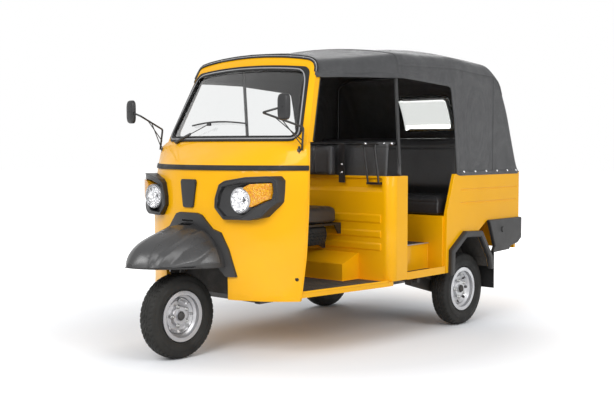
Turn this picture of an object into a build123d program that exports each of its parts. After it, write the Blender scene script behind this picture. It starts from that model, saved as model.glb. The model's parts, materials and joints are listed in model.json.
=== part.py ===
from build123d import *
from collections import namedtuple
from math import cos, radians, sin, tan
import os

# Auto rickshaw. Millimetres. +Z up, the nose points along -Y, the vehicle's left is +X.
# The origin is on the ground, midway between the fender's tip and the tail.

# ---- driving dimensions -------------------------------------------------------------------
wheelbase = 2000
track = 1180
front_axle_y = -1145
rear_axle_y = front_axle_y + wheelbase
overhang_rear = 632                 # rear axle to the tail
tail_y = rear_axle_y + overhang_rear

tyre_radius = 245
tyre_width = 116
tread_crown = 9                     # the tread's edges lie this far inside its middle
bead_radius = 129
rim_flange_radius = 146
rim_width = 96
hub_bore_radius = 15
axle_clearance = 0.3

body_half = 700                     # outside of the side panels
wall = 25                           # thickness of a body wall
sheet = 8                           # liners and brackets
seat_gap = 0.3                      # between faces that seat on each other
running = 0.8                       # round a turning shaft

ground_clearance = 362              # underside of the body floor
floor_top = ground_clearance + wall
bulkhead_y = -45                    # front face of the bulkhead behind the driver
bulkhead_top = 1030
passenger_floor_z = 575
step_depth = 140                    # from the body side in to the riser of the step
bench_y = 545                       # front of the seat box
bench_top = 757
waist = 1030                        # top edge of the body sides
corner_radius = 60
bench_half = body_half - 45

rake = 20                           # steering axis, degrees from the vertical
steer_ground_y = -1190              # where that axis meets the ground
column_radius = 20
head_tube_radius = 30

canopy_thickness = 10
bow_radius = 11
post_y = 100                        # the middle posts of the hood frame

well_half = 262                     # the opening for the front wheel
well_top = 620
well_rear_y = -842

lamp_x, lamp_z, lamp_radius, lamp_front_y = 370, 912, 72, -1000

LEFT, RIGHT = 1, -1


# ---- small helpers ------------------------------------------------------------------------
def block(x_range, y_range, z_range, mode=Mode.ADD):
    """A straight block between two corners, in the block being built."""
    spans = (x_range, y_range, z_range)
    with Locations(tuple((low + high) / 2 for low, high in spans)):
        Box(*(high - low for low, high in spans), mode=mode)


def side_prism(points, x_range, radius=0, mode=Mode.ADD):
    """A side-view outline (y, z), its corners rounded, carried across from x to x."""
    with BuildSketch(Plane.YZ.offset(x_range[0])) as outline:
        with BuildLine():
            Polyline(*points, close=True)
        make_face()
        if radius:
            fillet(outline.vertices(), radius)
    extrude(outline.sketch, amount=x_range[1] - x_range[0], mode=mode)


def front_prism(points, y_range, radius=0, mode=Mode.ADD):
    """A front-view outline (x, z), its corners rounded, carried back from y to y."""
    with BuildSketch(Plane.XZ.offset(-y_range[1])) as outline:
        with BuildLine():
            Polyline(*points, close=True)
        make_face()
        if radius:
            fillet(outline.vertices(), radius)
    extrude(outline.sketch, amount=y_range[1] - y_range[0], mode=mode)


def mirrored(points):
    """An outline given for the left half, completed across the centre line."""
    return [*points, *((-x, z) for x, z in reversed(points) if x)]


def tube(points, bends, radius):
    """A round tube bent along points, with one bend radius for each inner point."""
    with BuildPart() as bent:
        with BuildLine() as route:
            FilletPolyline(*points, radius=bends) if len(points) > 2 else Line(*points)
        with BuildSketch(Plane(origin=route.line @ 0, z_dir=route.line % 0)):
            Circle(radius)
        sweep(path=route.line)
    return bent.part


def steer_y(z):
    return steer_ground_y + z * tan(radians(rake))


steering_direction = (0, sin(radians(rake)), cos(radians(rake)))
steering = Plane(origin=(0, steer_ground_y, 0), x_dir=(1, 0, 0), z_dir=steering_direction)


def along_column(z):
    """The distance up the steering axis at which it stands z above the ground."""
    return z / cos(radians(rake))


def save(builder, label):
    builder.part.label = label
    export_step(builder.part, f"parts/{label}.step")


# ---- the cab front's shape ----------------------------------------------------------------
# Plan sections of the nose: a wide front arc, then a tighter arc to the door flange.
Section = namedtuple("Section", "z half flange_y shoulder_x shoulder_y nose_y")
nose_sections = [
    Section(345, 615, -784, 440, -925, -1035),
    Section(600, 625, -750, 440, -928, -1042),
    Section(870, 638, -745, 430, -932, -1050),
    Section(1093, 638, -740, 415, -915, -1044),
]
scuttle_sections = [
    nose_sections[-1],
    Section(1206, 624, -722, 402, -824, -882),
    Section(1236, 602, -698, 388, -790, -849),
]
# Plan sections of the windscreen: one front arc to the corners, then the pillars' flat sides.
ScreenSection = namedtuple("ScreenSection", "z half flange_y corner_x corner_y nose_y")
screen_sections = [
    ScreenSection(1236, 598, -694, 570, -712, -845),
    ScreenSection(1790, 479, -466, 454, -482, -511),
]
belt_z = nose_sections[-1].z
screen_base_z = screen_sections[0].z


def nose_plan(section, grow, depth):
    """One plan section of the nose: grown outwards, closed depth behind the flange."""
    with BuildSketch(Plane.XY.offset(section.z)) as plan:
        with BuildLine():
            shoulder = section.shoulder_y - grow
            tip = (0, section.nose_y - grow)
            nose = ThreePointArc((-section.shoulder_x, shoulder), tip, (section.shoulder_x, shoulder))
            side, flange = section.half + grow, section.flange_y
            left = TangentArc(nose @ 1, (side, flange), tangent=nose % 1)
            right = TangentArc(nose @ 0, (-side, flange), tangent=-(nose % 0))
            Polyline(left @ 1, (side, flange + depth), (-side, flange + depth), right @ 1)
        make_face()
    return plan.sketch


def screen_plan(section, grow, depth, shift):
    """One plan section of the windscreen: grown, closed depth behind the flange, moved back by shift."""
    with BuildSketch(Plane.XY.offset(section.z)) as plan:
        with BuildLine():
            corner = (section.corner_x + grow / 2, section.corner_y - grow + shift)
            tip = (0, section.nose_y - grow + shift)
            front = ThreePointArc((-corner[0], corner[1]), tip, corner)
            side, flange = section.half + grow, section.flange_y + shift
            Polyline(front @ 1, (side, flange), (side, flange + depth), (-side, flange + depth),
                     (-side, flange), front @ 0)
        make_face()
    return plan.sketch


def nose_shell(grow=0, depth=20):
    """The nose below the belt."""
    with BuildPart() as form:
        for section in nose_sections:
            add(nose_plan(section, grow, depth))
        loft()
    return form.part


def nose_form(grow=0, depth=20):
    """The nose with the scuttle above it."""
    with BuildPart() as scuttle:
        for section in scuttle_sections:
            add(nose_plan(section, grow, depth))
        loft(ruled=True)
    with BuildPart() as form:
        add(nose_shell(grow, depth))
        add(scuttle.part)
    return form.part


def screen_form(grow=0, depth=20, shift=0):
    """The solid form of the raked windscreen frame."""
    with BuildPart() as form:
        for section in screen_sections:
            add(screen_plan(section, grow, depth, shift))
        loft(ruled=True)
    return form.part


def on_nose(points, low, high, radius=0):
    """What stands on the nose: a front-view outline, from low to high above the skin."""
    with BuildPart() as piece:
        front_prism(points, (-1200, -700), radius)
        add(nose_form(high), mode=Mode.INTERSECT)
        add(nose_form(low, depth=300), mode=Mode.SUBTRACT)
    return piece.part


# Windscreen aperture, front view: bottom corner, top corner, and the crown of the top edge.
screen_low = (563, screen_base_z + 4)
screen_high = (474, 1672)
screen_crown = 1697
screen_low_radius, screen_high_radius = 60, 100
header_end, header_crown = (440, 1722), 1752
header_corner = (510, 1660)


def screen_prism(inset, mode=Mode.ADD):
    """The aperture's outline, drawn in by inset, carried through the screen frame."""
    with BuildSketch(Plane.XZ.offset(400)) as outline:
        with BuildLine():
            low = Line((-screen_low[0], screen_low[1]), screen_low)
            Line(low @ 1, screen_high)
            ThreePointArc(screen_high, (0, screen_crown), (-screen_high[0], screen_high[1]))
            Line((-screen_high[0], screen_high[1]), low @ 0)
        make_face()
        corners = outline.vertices().group_by(Axis.Z)
        fillet(corners[0], screen_low_radius)
        fillet(corners[-1], screen_high_radius)
        if inset:
            offset(amount=-inset, mode=Mode.REPLACE)
    extrude(outline.sketch, amount=600, mode=mode)


# ---- cab front ----------------------------------------------------------------------------
frame_depth = 45                    # windscreen frame and header, front to back
flange_depth = 12                   # door flange of the cowl


def make_front_cowl():
    with BuildPart() as front_cowl:
        add(nose_form(0, depth=flange_depth))
        add(nose_form(-wall, depth=200), mode=Mode.SUBTRACT)
        add(screen_form(depth=frame_depth))
        screen_prism(0, mode=Mode.SUBTRACT)
        # the header's crown and its rounded corners
        with BuildSketch(Plane.XZ.offset(300)):
            with BuildLine():
                left_end = (-header_end[0], header_end[1])
                crown = ThreePointArc(left_end, (0, header_crown), header_end)
                right = TangentArc(crown @ 1, header_corner, tangent=crown % 1)
                left = TangentArc(left_end, (-header_corner[0], header_corner[1]), tangent=-(crown % 0))
                Polyline(right @ 1, (700, header_corner[1]), (700, 1900), (-700, 1900),
                         (-700, header_corner[1]), left @ 1)
            make_face()
        extrude(amount=500, mode=Mode.SUBTRACT)
        # the arch for the front wheel
        wheel_opening = mirrored([(well_half, 300), (well_half, 560), (well_half - 60, well_top)])
        front_prism(wheel_opening, (-1200, -880), mode=Mode.SUBTRACT)
    save(front_cowl, "front_cowl")


def make_wheel_well():
    """The liner that closes the cab off from the front wheel."""
    with BuildPart() as wheel_well:
        add(nose_shell(grow=-wall - seat_gap))
        lowest = nose_sections[0].z
        block((-well_half, well_half), (-1200, well_rear_y), (lowest, well_top), Mode.INTERSECT)
        inside = well_half - sheet
        block((-inside, inside), (-1200, well_rear_y - sheet), (200, well_top - sheet), Mode.SUBTRACT)
        with BuildSketch(steering):
            Circle(head_tube_radius + 6)
        extrude(amount=1200, mode=Mode.SUBTRACT)
    save(wheel_well, "wheel_well")


seal_width = 32
seal_depth = 23
seal_stand = 7                      # the seal stands out of the frame
glass_set = 4                       # and the glass lies behind its face
glass_thickness = 5


def make_screen():
    with BuildPart() as windscreen_seal:
        screen_prism(seat_gap)
        screen_prism(seal_width, mode=Mode.SUBTRACT)
        add(screen_form(grow=0, depth=seal_depth, shift=-seal_stand), mode=Mode.INTERSECT)
    save(windscreen_seal, "windscreen_seal")
    with BuildPart() as windscreen:
        screen_prism(seal_width + seat_gap)
        add(screen_form(depth=60, shift=glass_set), mode=Mode.INTERSECT)
        add(screen_form(depth=80, shift=glass_set + glass_thickness), mode=Mode.SUBTRACT)
    save(windscreen, "windscreen")


def make_belt_strip():
    with BuildPart() as belt_strip:
        add(nose_form(9, depth=0.5))
        add(nose_form(seat_gap, depth=300), mode=Mode.SUBTRACT)
        block((-700, 700), (-1200, -700), (belt_z - 16, belt_z + 12), mode=Mode.INTERSECT)
    save(belt_strip, "belt_strip")


# Front-view outlines (x, z) of the left lamp cluster: its surround, the window in it, the indicator.
bezel_outline = [(209, 866), (212, 920), (241, 997), (279, 1019), (408, 1042), (532, 1047), (550, 1022),
                 (552, 962), (551, 904), (540, 884), (491, 820), (432, 803), (271, 803)]
bezel_window = [(226, 870), (241, 948), (265, 985), (375, 1009), (536, 1013), (540, 966),
                (534, 918), (448, 872), (408, 836), (385, 823), (275, 820)]
indicator_outline = [(404, 984), (438, 1003), (533, 1009), (533, 996), (530, 922), (446, 877), (426, 880)]
# Plan of the cluster's front (x, y): an arc through three points, then a tighter one to its outer end.
lamp_plan = [(200, -1051), (400, -1005), (500, -955), (556, -856)]


def lamp_block(outline, proud, floor, radius, mode=Mode.ADD):
    """A front-view outline between the cluster's front, moved out by proud, and floor above the skin."""
    with BuildPart(mode=Mode.PRIVATE) as piece:
        front_prism(outline, (-1200, -700), radius)
        with BuildSketch(Plane.XY.offset(700)):
            with BuildLine():
                *face, end = ((x, y - proud) for x, y in lamp_plan)
                front = ThreePointArc(*face)
                TangentArc(front @ 1, end, tangent=front % 1)
                Polyline(end, (end[0], -600), (face[0][0], -600), face[0])
            make_face()
        extrude(amount=400, mode=Mode.INTERSECT)
        add(nose_form(floor, depth=300), mode=Mode.SUBTRACT)
    add(piece.part, mode=mode)


def make_head_lamps():
    bucket = 10                     # the surround's floor, above the skin
    with BuildPart() as headlamp_bezels:
        lamp_block(bezel_outline, 0, seat_gap, 12)
        lamp_block(bezel_window, 60, bucket, 8, Mode.SUBTRACT)
        mirror(about=Plane.YZ)
    # the lamp lies in its window, its foot cut to the bezel's floor
    with BuildPart() as headlamps:
        with BuildSketch(Plane.XZ.offset(880)):
            with Locations((lamp_x, lamp_z)):
                Circle(lamp_radius)
        extrude(amount=-lamp_front_y - 880)
        fillet(headlamps.edges().group_by(Axis.Y)[0], 16)
        add(nose_form(bucket + seat_gap, depth=300), mode=Mode.SUBTRACT)
        mirror(about=Plane.YZ)
    with BuildPart() as indicators:
        lamp_block(indicator_outline, 12, bucket + seat_gap, 5)
        with BuildSketch(Plane.XZ.offset(800)):
            with Locations((lamp_x, lamp_z)):
                Circle(lamp_radius + 1)
        extrude(amount=300, mode=Mode.SUBTRACT)
        mirror(about=Plane.YZ)
    save(headlamp_bezels, "headlamp_bezels")
    save(headlamps, "headlamps")
    save(indicators, "indicators")


def make_nose_trim():
    with BuildPart() as nose_trim:
        add(on_nose(mirrored([(56, 1023), (64, 1008), (42, 868), (34, 861)]), seat_gap, 14, radius=5))
    save(nose_trim, "nose_trim")


# Front fender: cross sections (y, half width, rim height, crown height), tip to body.
Rib = namedtuple("Rib", "y half rim crown")
fender_ribs = [
    Rib(-1490, 20, 552, 572),
    Rib(-1440, 84, 547, 643),
    Rib(-1340, 150, 542, 698),
    Rib(-1180, 226, 538, 745),
    Rib(-980, 258, 536, 800),
]
fender_wall = 7


def fender_form(inset):
    """Each rib has two lobes that meet in a ridge along the middle."""
    with BuildPart() as form:
        for rib in fender_ribs:
            front = rib.y + inset if rib is fender_ribs[0] else rib.y
            with BuildSketch(Plane.XZ.offset(-front)):
                with BuildLine():
                    half = rib.half - inset
                    foot = rib.rim - 4 - (10 if inset else 0)
                    lobe = (0.7 * half, rib.rim + 0.62 * (rib.crown - inset - rib.rim))
                    ridge = (0, rib.crown - inset)
                    left = ThreePointArc((-half, rib.rim), (-lobe[0], lobe[1]), ridge)
                    right = ThreePointArc(ridge, lobe, (half, rib.rim))
                    Polyline(right @ 1, (half, foot), (-half, foot), left @ 0)
                make_face()
        loft()
    return form.part


skirt_outline = mirrored([(70, 832), (105, 822), (180, 745), (233, 726),
                          (278, 632), (322, 478), (262, 476), (200, 540)])


def make_front_fender():
    with BuildPart() as front_fender:
        add(fender_form(0))
        add(fender_form(fender_wall), mode=Mode.SUBTRACT)
        add(on_nose(skirt_outline, seat_gap, 16))
        tyre_room = mirrored([(190, 300), (190, 560), (120, 640), (60, 665)])
        front_prism(tyre_room, (-1300, -900), mode=Mode.SUBTRACT)
        add(nose_form(seat_gap, depth=300), mode=Mode.SUBTRACT)
        # three vent slots in the neck
        for lift in (0, 20, 40):
            with Locations((0, -1060, 746 + lift)):
                Box(96, 160, 9, mode=Mode.SUBTRACT)
    save(front_fender, "front_fender")


mirror_route = [(604, -752, 1190), (600, -735, 1318), (516, -977, 1395), (648, -950, 1425)]
mirror_tube = 6


def make_mirrors():
    with BuildPart() as mirrors:
        add(tube(mirror_route, (12, 12), mirror_tube))
        with Locations(mirror_route[0]):
            Box(22, 18, 46)
        head = Plane(origin=mirror_route[-1], x_dir=(1, 0.1, 0), z_dir=(-0.1, 1, 0))
        with BuildSketch(head.offset(-12)) as face:
            Rectangle(78, 150)
            fillet(face.vertices(), 14)
        extrude(amount=26)
        add(nose_form(seat_gap, depth=300), mode=Mode.SUBTRACT)
        add(screen_form(grow=seat_gap, depth=100), mode=Mode.SUBTRACT)
        mirror(about=Plane.YZ)
    save(mirrors, "mirrors")


wiper_pivot = (-380, -812, 1236)
wiper_knee = (-90, -800, 1345)


def make_wiper():
    with BuildPart() as wiper:
        add(tube([wiper_pivot, wiper_knee], (), 5))
        add(tube([(-285, -792, 1332), (-90, -800, 1348), (180, -790, 1340)], (400,), 6))
        with BuildSketch(Plane.XZ.offset(790)):
            with Locations((wiper_pivot[0], wiper_pivot[2])):
                Circle(12)
        extrude(amount=34)
        add(nose_form(seat_gap, depth=300), mode=Mode.SUBTRACT)
        add(screen_form(grow=seal_stand + seat_gap, depth=100), mode=Mode.SUBTRACT)
    save(wiper, "wiper")


def make_dashboard():
    with BuildPart() as dashboard:
        add(nose_form(-wall - seat_gap, depth=20))
        block((-540, 540), (-1100, -790), (1154, 1196), mode=Mode.INTERSECT)
        fillet(dashboard.edges().filter_by(Axis.X).group_by(Axis.Y)[-1], 12)
    save(dashboard, "dashboard")


# ---- body ---------------------------------------------------------------------------------
frame_x = 300                       # centre of the chassis side rails
rail = (40, 60)
rail_end_y = 1300
gusset_y = (-775, -735)


def make_chassis():
    rail_top = ground_clearance - seat_gap
    rail_low = rail_top - rail[1]
    with BuildPart() as chassis_frame:
        for side in (LEFT, RIGHT):
            across = sorted((side * (frame_x - rail[0] / 2), side * (frame_x + rail[0] / 2)))
            block(across, (-800, rail_end_y), (rail_low, rail_top))
        for y in (gusset_y[0], 90, 440, 1260):
            block((-frame_x, frame_x), (y, y + rail[0]), (rail_low, rail_top))
        # pivot tube of the trailing arms
        with BuildSketch(Plane.YZ.offset(-540)):
            with Locations((arm_pivot[0], arm_pivot[1])):
                Circle(arm_tube)
        extrude(amount=1080)
        # the post and the steering head it carries
        block((-30, 30), gusset_y, (rail_low, 800))
        block((-18, 18), (steer_y(760), gusset_y[1]), (690, 800))
        head = steering.offset(along_column(650))
        with BuildSketch(head):
            Circle(head_tube_radius)
        extrude(amount=along_column(270))
        with BuildSketch(steering):
            Circle(column_radius + running)
        extrude(amount=1400, mode=Mode.SUBTRACT)
    save(chassis_frame, "chassis_frame")


arm_pivot = (470, 331)              # y and z of the trailing arms' pivot
arm_tube = 16
arm_x = 480
hub_face_x = track / 2 - 52
arm_front = (arm_pivot[0] - 34, arm_pivot[1] + 30)      # y and z of the arm's upper edge, front
arm_rear = (rear_axle_y + 45, tyre_radius + 46)         # and rear


def arm_top(y):
    slope = (arm_rear[1] - arm_front[1]) / (arm_rear[0] - arm_front[0])
    return arm_front[1] + (y - arm_front[0]) * slope


def make_trailing_arms():
    with BuildPart() as trailing_arms:
        with BuildSketch(Plane.YZ.offset(arm_x - 25)):
            with BuildLine():
                Polyline((arm_front[0], arm_pivot[1] - 30), arm_front, arm_rear,
                         (arm_rear[0], tyre_radius - 42), (rear_axle_y - 60, tyre_radius - 42), close=True)
            make_face()
        extrude(amount=50)
        with BuildSketch(Plane.YZ.offset(arm_x - 40)):
            with Locations(arm_pivot):
                Circle(arm_tube + seat_gap)
        extrude(amount=80, mode=Mode.SUBTRACT)
        # knuckle and stub axle
        with BuildSketch(Plane.YZ.offset(arm_x)):
            with Locations((rear_axle_y, tyre_radius)):
                Circle(36)
        extrude(amount=hub_face_x - arm_x - running)
        with BuildSketch(Plane.YZ.offset(arm_x)):
            with Locations((rear_axle_y, tyre_radius)):
                Circle(hub_bore_radius - axle_clearance)
        extrude(amount=track / 2 - arm_x + 22)
        mirror(about=Plane.YZ)
    save(trailing_arms, "trailing_arms")
    with BuildPart() as shock_absorbers:
        across = (arm_x - 40, arm_x + 40)
        under_bench = bench_top - bench_wall - seat_gap
        add(tube([(arm_x, rear_axle_y - 69, 290), (arm_x, rear_axle_y - 157, under_bench + 20)], (), 16))
        add(tube([(arm_x, rear_axle_y - 87, 380), (arm_x, rear_axle_y - 133, 610)], (), 34))
        front, back = rear_axle_y - 155, rear_axle_y - 5
        side_prism([(front, 200), (back, 200), (back, arm_top(back) + seat_gap),
                    (front, arm_top(front) + seat_gap)], across, mode=Mode.SUBTRACT)
        block(across, (600, 850), (under_bench, under_bench + 80), Mode.SUBTRACT)
        mirror(about=Plane.YZ)
    save(shock_absorbers, "shock_absorbers")


def make_cab_floor():
    """The floor reaches forward inside the cab front, round the front wheel's well."""
    rear, front = bulkhead_y + wall, nose_sections[0].flange_y + 10
    side = body_half - 2
    with BuildPart() as cab_floor:
        with BuildSketch(Plane.XY.offset(ground_clearance)):
            with BuildLine():
                sill = nose_sections[0].half
                Polyline((side, rear), (side, bulkhead_y - 30), (sill, front), (-sill, front),
                         (-side, bulkhead_y - 30), (-side, rear), close=True)
            make_face()
        extrude(amount=wall)
        add(nose_form(seat_gap, depth=flange_depth), mode=Mode.SUBTRACT)
        with BuildPart(mode=Mode.PRIVATE) as within:
            add(nose_form(-wall - seat_gap, depth=60))
            block((-body_half, body_half), (-1000, -700), (ground_clearance, floor_top), Mode.INTERSECT)
        add(within.part)
        post = rail[0] / 2 + 11
        block((-post, post), (gusset_y[0] - 1, gusset_y[1] + 1), (300, 500), Mode.SUBTRACT)
        well = well_half + seat_gap
        block((-well, well), (-1200, well_rear_y + seat_gap), (300, 500), Mode.SUBTRACT)
    save(cab_floor, "cab_floor")


rib_heights = [(566, 624), (645, 700), (735, 800)]
rib_depth = 7
wrap_end_y = post_y + 22            # where the bulkhead's sides end, behind the middle posts


def make_bulkhead():
    """The wall behind the driver, wrapped round to the body sides with rounded corners."""
    with BuildPart() as bulkhead:
        with BuildSketch(Plane.XY.offset(floor_top + seat_gap)):
            with BuildLine():
                inside = body_half - wall
                FilletPolyline((body_half, wrap_end_y), (body_half, bulkhead_y), (-body_half, bulkhead_y),
                               (-body_half, wrap_end_y), radius=corner_radius)
                Line((-body_half, wrap_end_y), (-inside, wrap_end_y))
                back = bulkhead_y + wall
                FilletPolyline((-inside, wrap_end_y), (-inside, back), (inside, back), (inside, wrap_end_y),
                               radius=corner_radius - wall)
                Line((inside, wrap_end_y), (body_half, wrap_end_y))
            make_face()
        extrude(amount=bulkhead_top - floor_top - seat_gap)
        # pressed ribs, and the folded shelf along the top
        root, crest = bulkhead_y + 2, bulkhead_y - rib_depth
        for low, high in rib_heights:
            side_prism([(root, low), (crest, low + 14), (crest, high - 14), (root, high)], (-620, 620))
        face, trough = bulkhead_y - 0.5, bulkhead_y + 14
        side_prism([(face, 930), (trough, 958), (trough, 1012), (face, 1016)], (-628, 628),
                   mode=Mode.SUBTRACT)
    save(bulkhead, "bulkhead")


box_half, box_front_y, box_front_z, box_back_z = 450, -210, 490, 552


def make_floor_box():
    """The battery box on the cab floor, open underneath."""
    top = floor_top + seat_gap
    front, back = box_front_y, bulkhead_y - seat_gap
    outer = [(front, top), (front, box_front_z), (back, box_back_z), (back, top)]
    inner = [(front + sheet, top - 1), (front + sheet, box_front_z - sheet),
             (back - sheet, box_back_z - sheet), (back - sheet, top - 1)]
    with BuildPart() as floor_box:
        side_prism(outer, (-box_half, box_half))
        fillet(floor_box.edges().filter_by(Axis.X).group_by(Axis.Z)[-1], 6)
        side_prism(inner, (-box_half + sheet, box_half - sheet), mode=Mode.SUBTRACT)
    save(floor_box, "floor_box")


spare_centre = (85, -305)
spare_z = (600, 716)
cushion_z = (732, 838)
cushion_y = (-430, -72)
cushion_half = 340
backrest_half = 295


def make_driver_seat():
    with BuildPart() as driver_seat:
        with BuildSketch(Plane.XY.offset(cushion_z[0])) as plan:
            with Locations((0, sum(cushion_y) / 2)):
                Rectangle(2 * cushion_half, cushion_y[1] - cushion_y[0])
            fillet(plan.vertices(), 60)
        extrude(amount=cushion_z[1] - cushion_z[0])
        fillet(driver_seat.faces().sort_by(Axis.Z)[-1].edges(), 28)
    save(driver_seat, "driver_seat")
    with BuildPart() as driver_backrest:
        block((-backrest_half, backrest_half), (bulkhead_y - 78, bulkhead_y - seat_gap), (1018, 1232))
        fillet(driver_backrest.edges().filter_by(Axis.Y), 20)
    save(driver_backrest, "driver_backrest")


seat_bar = 12


def make_seat_frame():
    """Two brackets bolted to the bulkhead carry the cushion above and the spare wheel below."""
    under_seat = cushion_z[0] - seat_gap
    under_spare = spare_z[0] - seat_gap
    wall_face = bulkhead_y - rib_depth - seat_gap
    front = cushion_y[0] + 40
    with BuildPart() as seat_frame:
        for side in (LEFT, RIGHT):
            x = side * (cushion_half - 30)
            side_prism([(wall_face, 662), (wall_face, under_seat), (front, under_seat),
                        (front, under_seat - 14), (wall_face - 60, under_seat - 14),
                        (wall_face - 22, 662)], sorted((x, x - side * seat_bar)))
        for low, high in ((front, front + 26), (wall_face - 26, wall_face)):
            block((-cushion_half + 30, cushion_half - 30), (low, high), (under_seat - 14, under_seat))
        # the tray under the spare wheel
        tray = spare_centre[1] - 150
        for x in (spare_centre[0] - 90, spare_centre[0] + 90):
            side_prism([(wall_face, under_spare - 38), (wall_face, under_spare), (tray, under_spare),
                        (tray, under_spare - 14), (wall_face - 60, under_spare - 14),
                        (wall_face - 16, under_spare - 38)], (x - seat_bar / 2, x + seat_bar / 2))
        block((spare_centre[0] - 90, spare_centre[0] + 90), (spare_centre[1] - 13, spare_centre[1] + 13),
              (under_spare - 14, under_spare))
    save(seat_frame, "seat_frame")


rim_gauge = 6
rim_half = rim_width / 2
bead_half = rim_half - rim_gauge - seat_gap
well_depth = 16                     # the rim's drop centre
vent_count, vent_radius, vent_circle = 8, 10, 91
hub_radius = 30


def wheel_plane(centre):
    """Half sections of a wheel: local x is the radius, local y runs along the axle."""
    return Plane(origin=centre, x_dir=(0, 0, 1), z_dir=(0, 1, 0))


def make_tyre(centre, name):
    half = tyre_width / 2
    shoulder = (tyre_radius - tread_crown, half - 11)
    belly = (rim_flange_radius + 0.42 * (tyre_radius - rim_flange_radius), half)
    bead = (rim_flange_radius + 3, bead_half)
    seat = bead_radius + seat_gap
    carcass = 13
    with BuildPart() as tyre:
        with BuildSketch(wheel_plane(centre)):
            with BuildLine():
                ThreePointArc((shoulder[0], -shoulder[1]), (tyre_radius, 0), shoulder)
                ThreePointArc(shoulder, belly, bead)
                Line(bead, (seat, bead_half))
                Line((seat, bead_half), (seat, bead_half - carcass))
                inner = (shoulder[0] - carcass, shoulder[1] - carcass)
                ThreePointArc((seat, bead_half - carcass), (belly[0], half - carcass), inner)
                Line(inner, (inner[0], -inner[1]))
                far_bead = (seat, carcass - bead_half)
                ThreePointArc((inner[0], -inner[1]), (belly[0], carcass - half), far_bead)
                Line((seat, carcass - bead_half), (seat, -bead_half))
                Line((seat, -bead_half), (bead[0], -bead_half))
                ThreePointArc((bead[0], -bead_half), (belly[0], -half), (shoulder[0], -shoulder[1]))
            make_face()
        revolve(axis=Axis(centre, (1, 0, 0)))
    save(tyre, name)


def make_rim(centre, face, name):
    """A pressed steel rim, its dished disc and its hub. face is the side that looks outward."""
    low = bead_radius - rim_gauge
    seat = rim_half - rim_gauge
    well = bead_radius - well_depth
    # half sections (radius, across): the rim's barrel, the dished disc, the hub
    barrel = [(low, -rim_half), (rim_flange_radius, -rim_half), (rim_flange_radius, -seat),
              (bead_radius, -seat), (bead_radius, -20), (well, -12), (well, 12), (bead_radius, 20),
              (bead_radius, seat), (rim_flange_radius, seat), (rim_flange_radius, rim_half),
              (low, rim_half), (low, 24), (well - rim_gauge, 14), (well - rim_gauge, -14), (low, -24)]
    edge = well - rim_gauge + 2
    disc = [(hub_radius - 2, 24), (52, 24), (62, 8), (84, 4), (100, 18), (edge, 2), (edge, -6),
            (100, 10), (84, -4), (58, 0), (48, 16), (hub_radius - 2, 16)]
    hub = [(hub_bore_radius, -40), (hub_radius - 6, -40), (hub_radius, -20),
           (hub_radius, 30), (hub_bore_radius, 30)]
    axle = Axis(centre, (1, 0, 0))
    with BuildPart() as rim:
        for ring in (barrel, disc, hub):
            with BuildSketch(wheel_plane(centre)):
                with BuildLine():
                    Polyline(*((radius, face * across) for radius, across in ring), close=True)
                make_face()
            revolve(axis=axle)
        with BuildSketch(Plane(origin=(centre[0] - 60, *centre[1:]), x_dir=(0, 1, 0), z_dir=(1, 0, 0))):
            with PolarLocations(vent_circle, vent_count):
                Circle(vent_radius)
        extrude(amount=120, mode=Mode.SUBTRACT)
    save(rim, name)


wheels = {
    "front": ((0, front_axle_y, tyre_radius), LEFT),
    "rear_l": ((track / 2, rear_axle_y, tyre_radius), LEFT),
    "rear_r": ((-track / 2, rear_axle_y, tyre_radius), RIGHT),
}


def make_spare():
    """The spare lies flat on its tray."""
    middle = (*spare_centre, spare_z[0] + tyre_width / 2)
    half = tyre_width / 2
    with BuildPart() as spare_wheel:
        with BuildSketch(Plane(origin=middle, x_dir=(1, 0, 0), z_dir=(0, -1, 0))):
            with BuildLine():
                bead, shoulder = rim_flange_radius - 20, tyre_radius - 6
                Polyline((bead, 10 - half), (bead + 23, -half), (shoulder - 34, -half), (shoulder, 12 - half),
                         (tyre_radius, 0), (shoulder, half - 12), (shoulder - 34, half), (bead + 23, half),
                         (bead, half - 10), close=True)
            make_face()
        revolve(axis=Axis(middle, (0, 0, 1)))
        with BuildSketch(Plane.XY.offset(spare_z[0] + 34)):
            with Locations(spare_centre):
                Circle(rim_flange_radius - 18)
                Circle(34, mode=Mode.SUBTRACT)
                with PolarLocations(vent_circle, vent_count):
                    Circle(vent_radius, mode=Mode.SUBTRACT)
        extrude(amount=8)
    save(spare_wheel, "spare_wheel")


# ---- passenger body -----------------------------------------------------------------------
riser_x = body_half - step_depth
bench_wall = 20
panel_z = 385                       # lower edge of the body sides


def make_passenger_tub():
    """The rear floor, the steps beside it, and the box under the bench."""
    rear_of_bulkhead = bulkhead_y + wall + seat_gap
    inside = body_half - wall - seat_gap
    with BuildPart() as passenger_tub:
        block((-riser_x, riser_x), (rear_of_bulkhead, bench_y), (passenger_floor_z - wall, passenger_floor_z))
        for side in (LEFT, RIGHT):
            across = sorted((side * riser_x, side * (riser_x - 15)))
            block(across, (rear_of_bulkhead, bench_y), (panel_z, passenger_floor_z))
            tread = sorted((side * riser_x, side * body_half))
            lip = sorted((side * (body_half - 14), side * body_half))
            steps = (wrap_end_y + seat_gap, bench_y)
            block(tread, steps, (panel_z, panel_z + 22))
            block(lip, steps, (panel_z, panel_z + 46))
        block((-inside, inside), (bench_y, bench_y + bench_wall), (panel_z, bench_top))
        block((-inside, inside), (bench_y, tail_y - wall - seat_gap), (bench_top - bench_wall, bench_top))
    save(passenger_tub, "passenger_tub")


# Wheel arch, side view (behind the axle, z): the opening's edge; the flare stands flare_band outside it.
arch = [(-237, 340), (-231, 512), (-91, 606), (81, 598), (196, 444), (222, 340)]
flare_band, flare_depth = 42, 32
liner_x = 520


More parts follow.
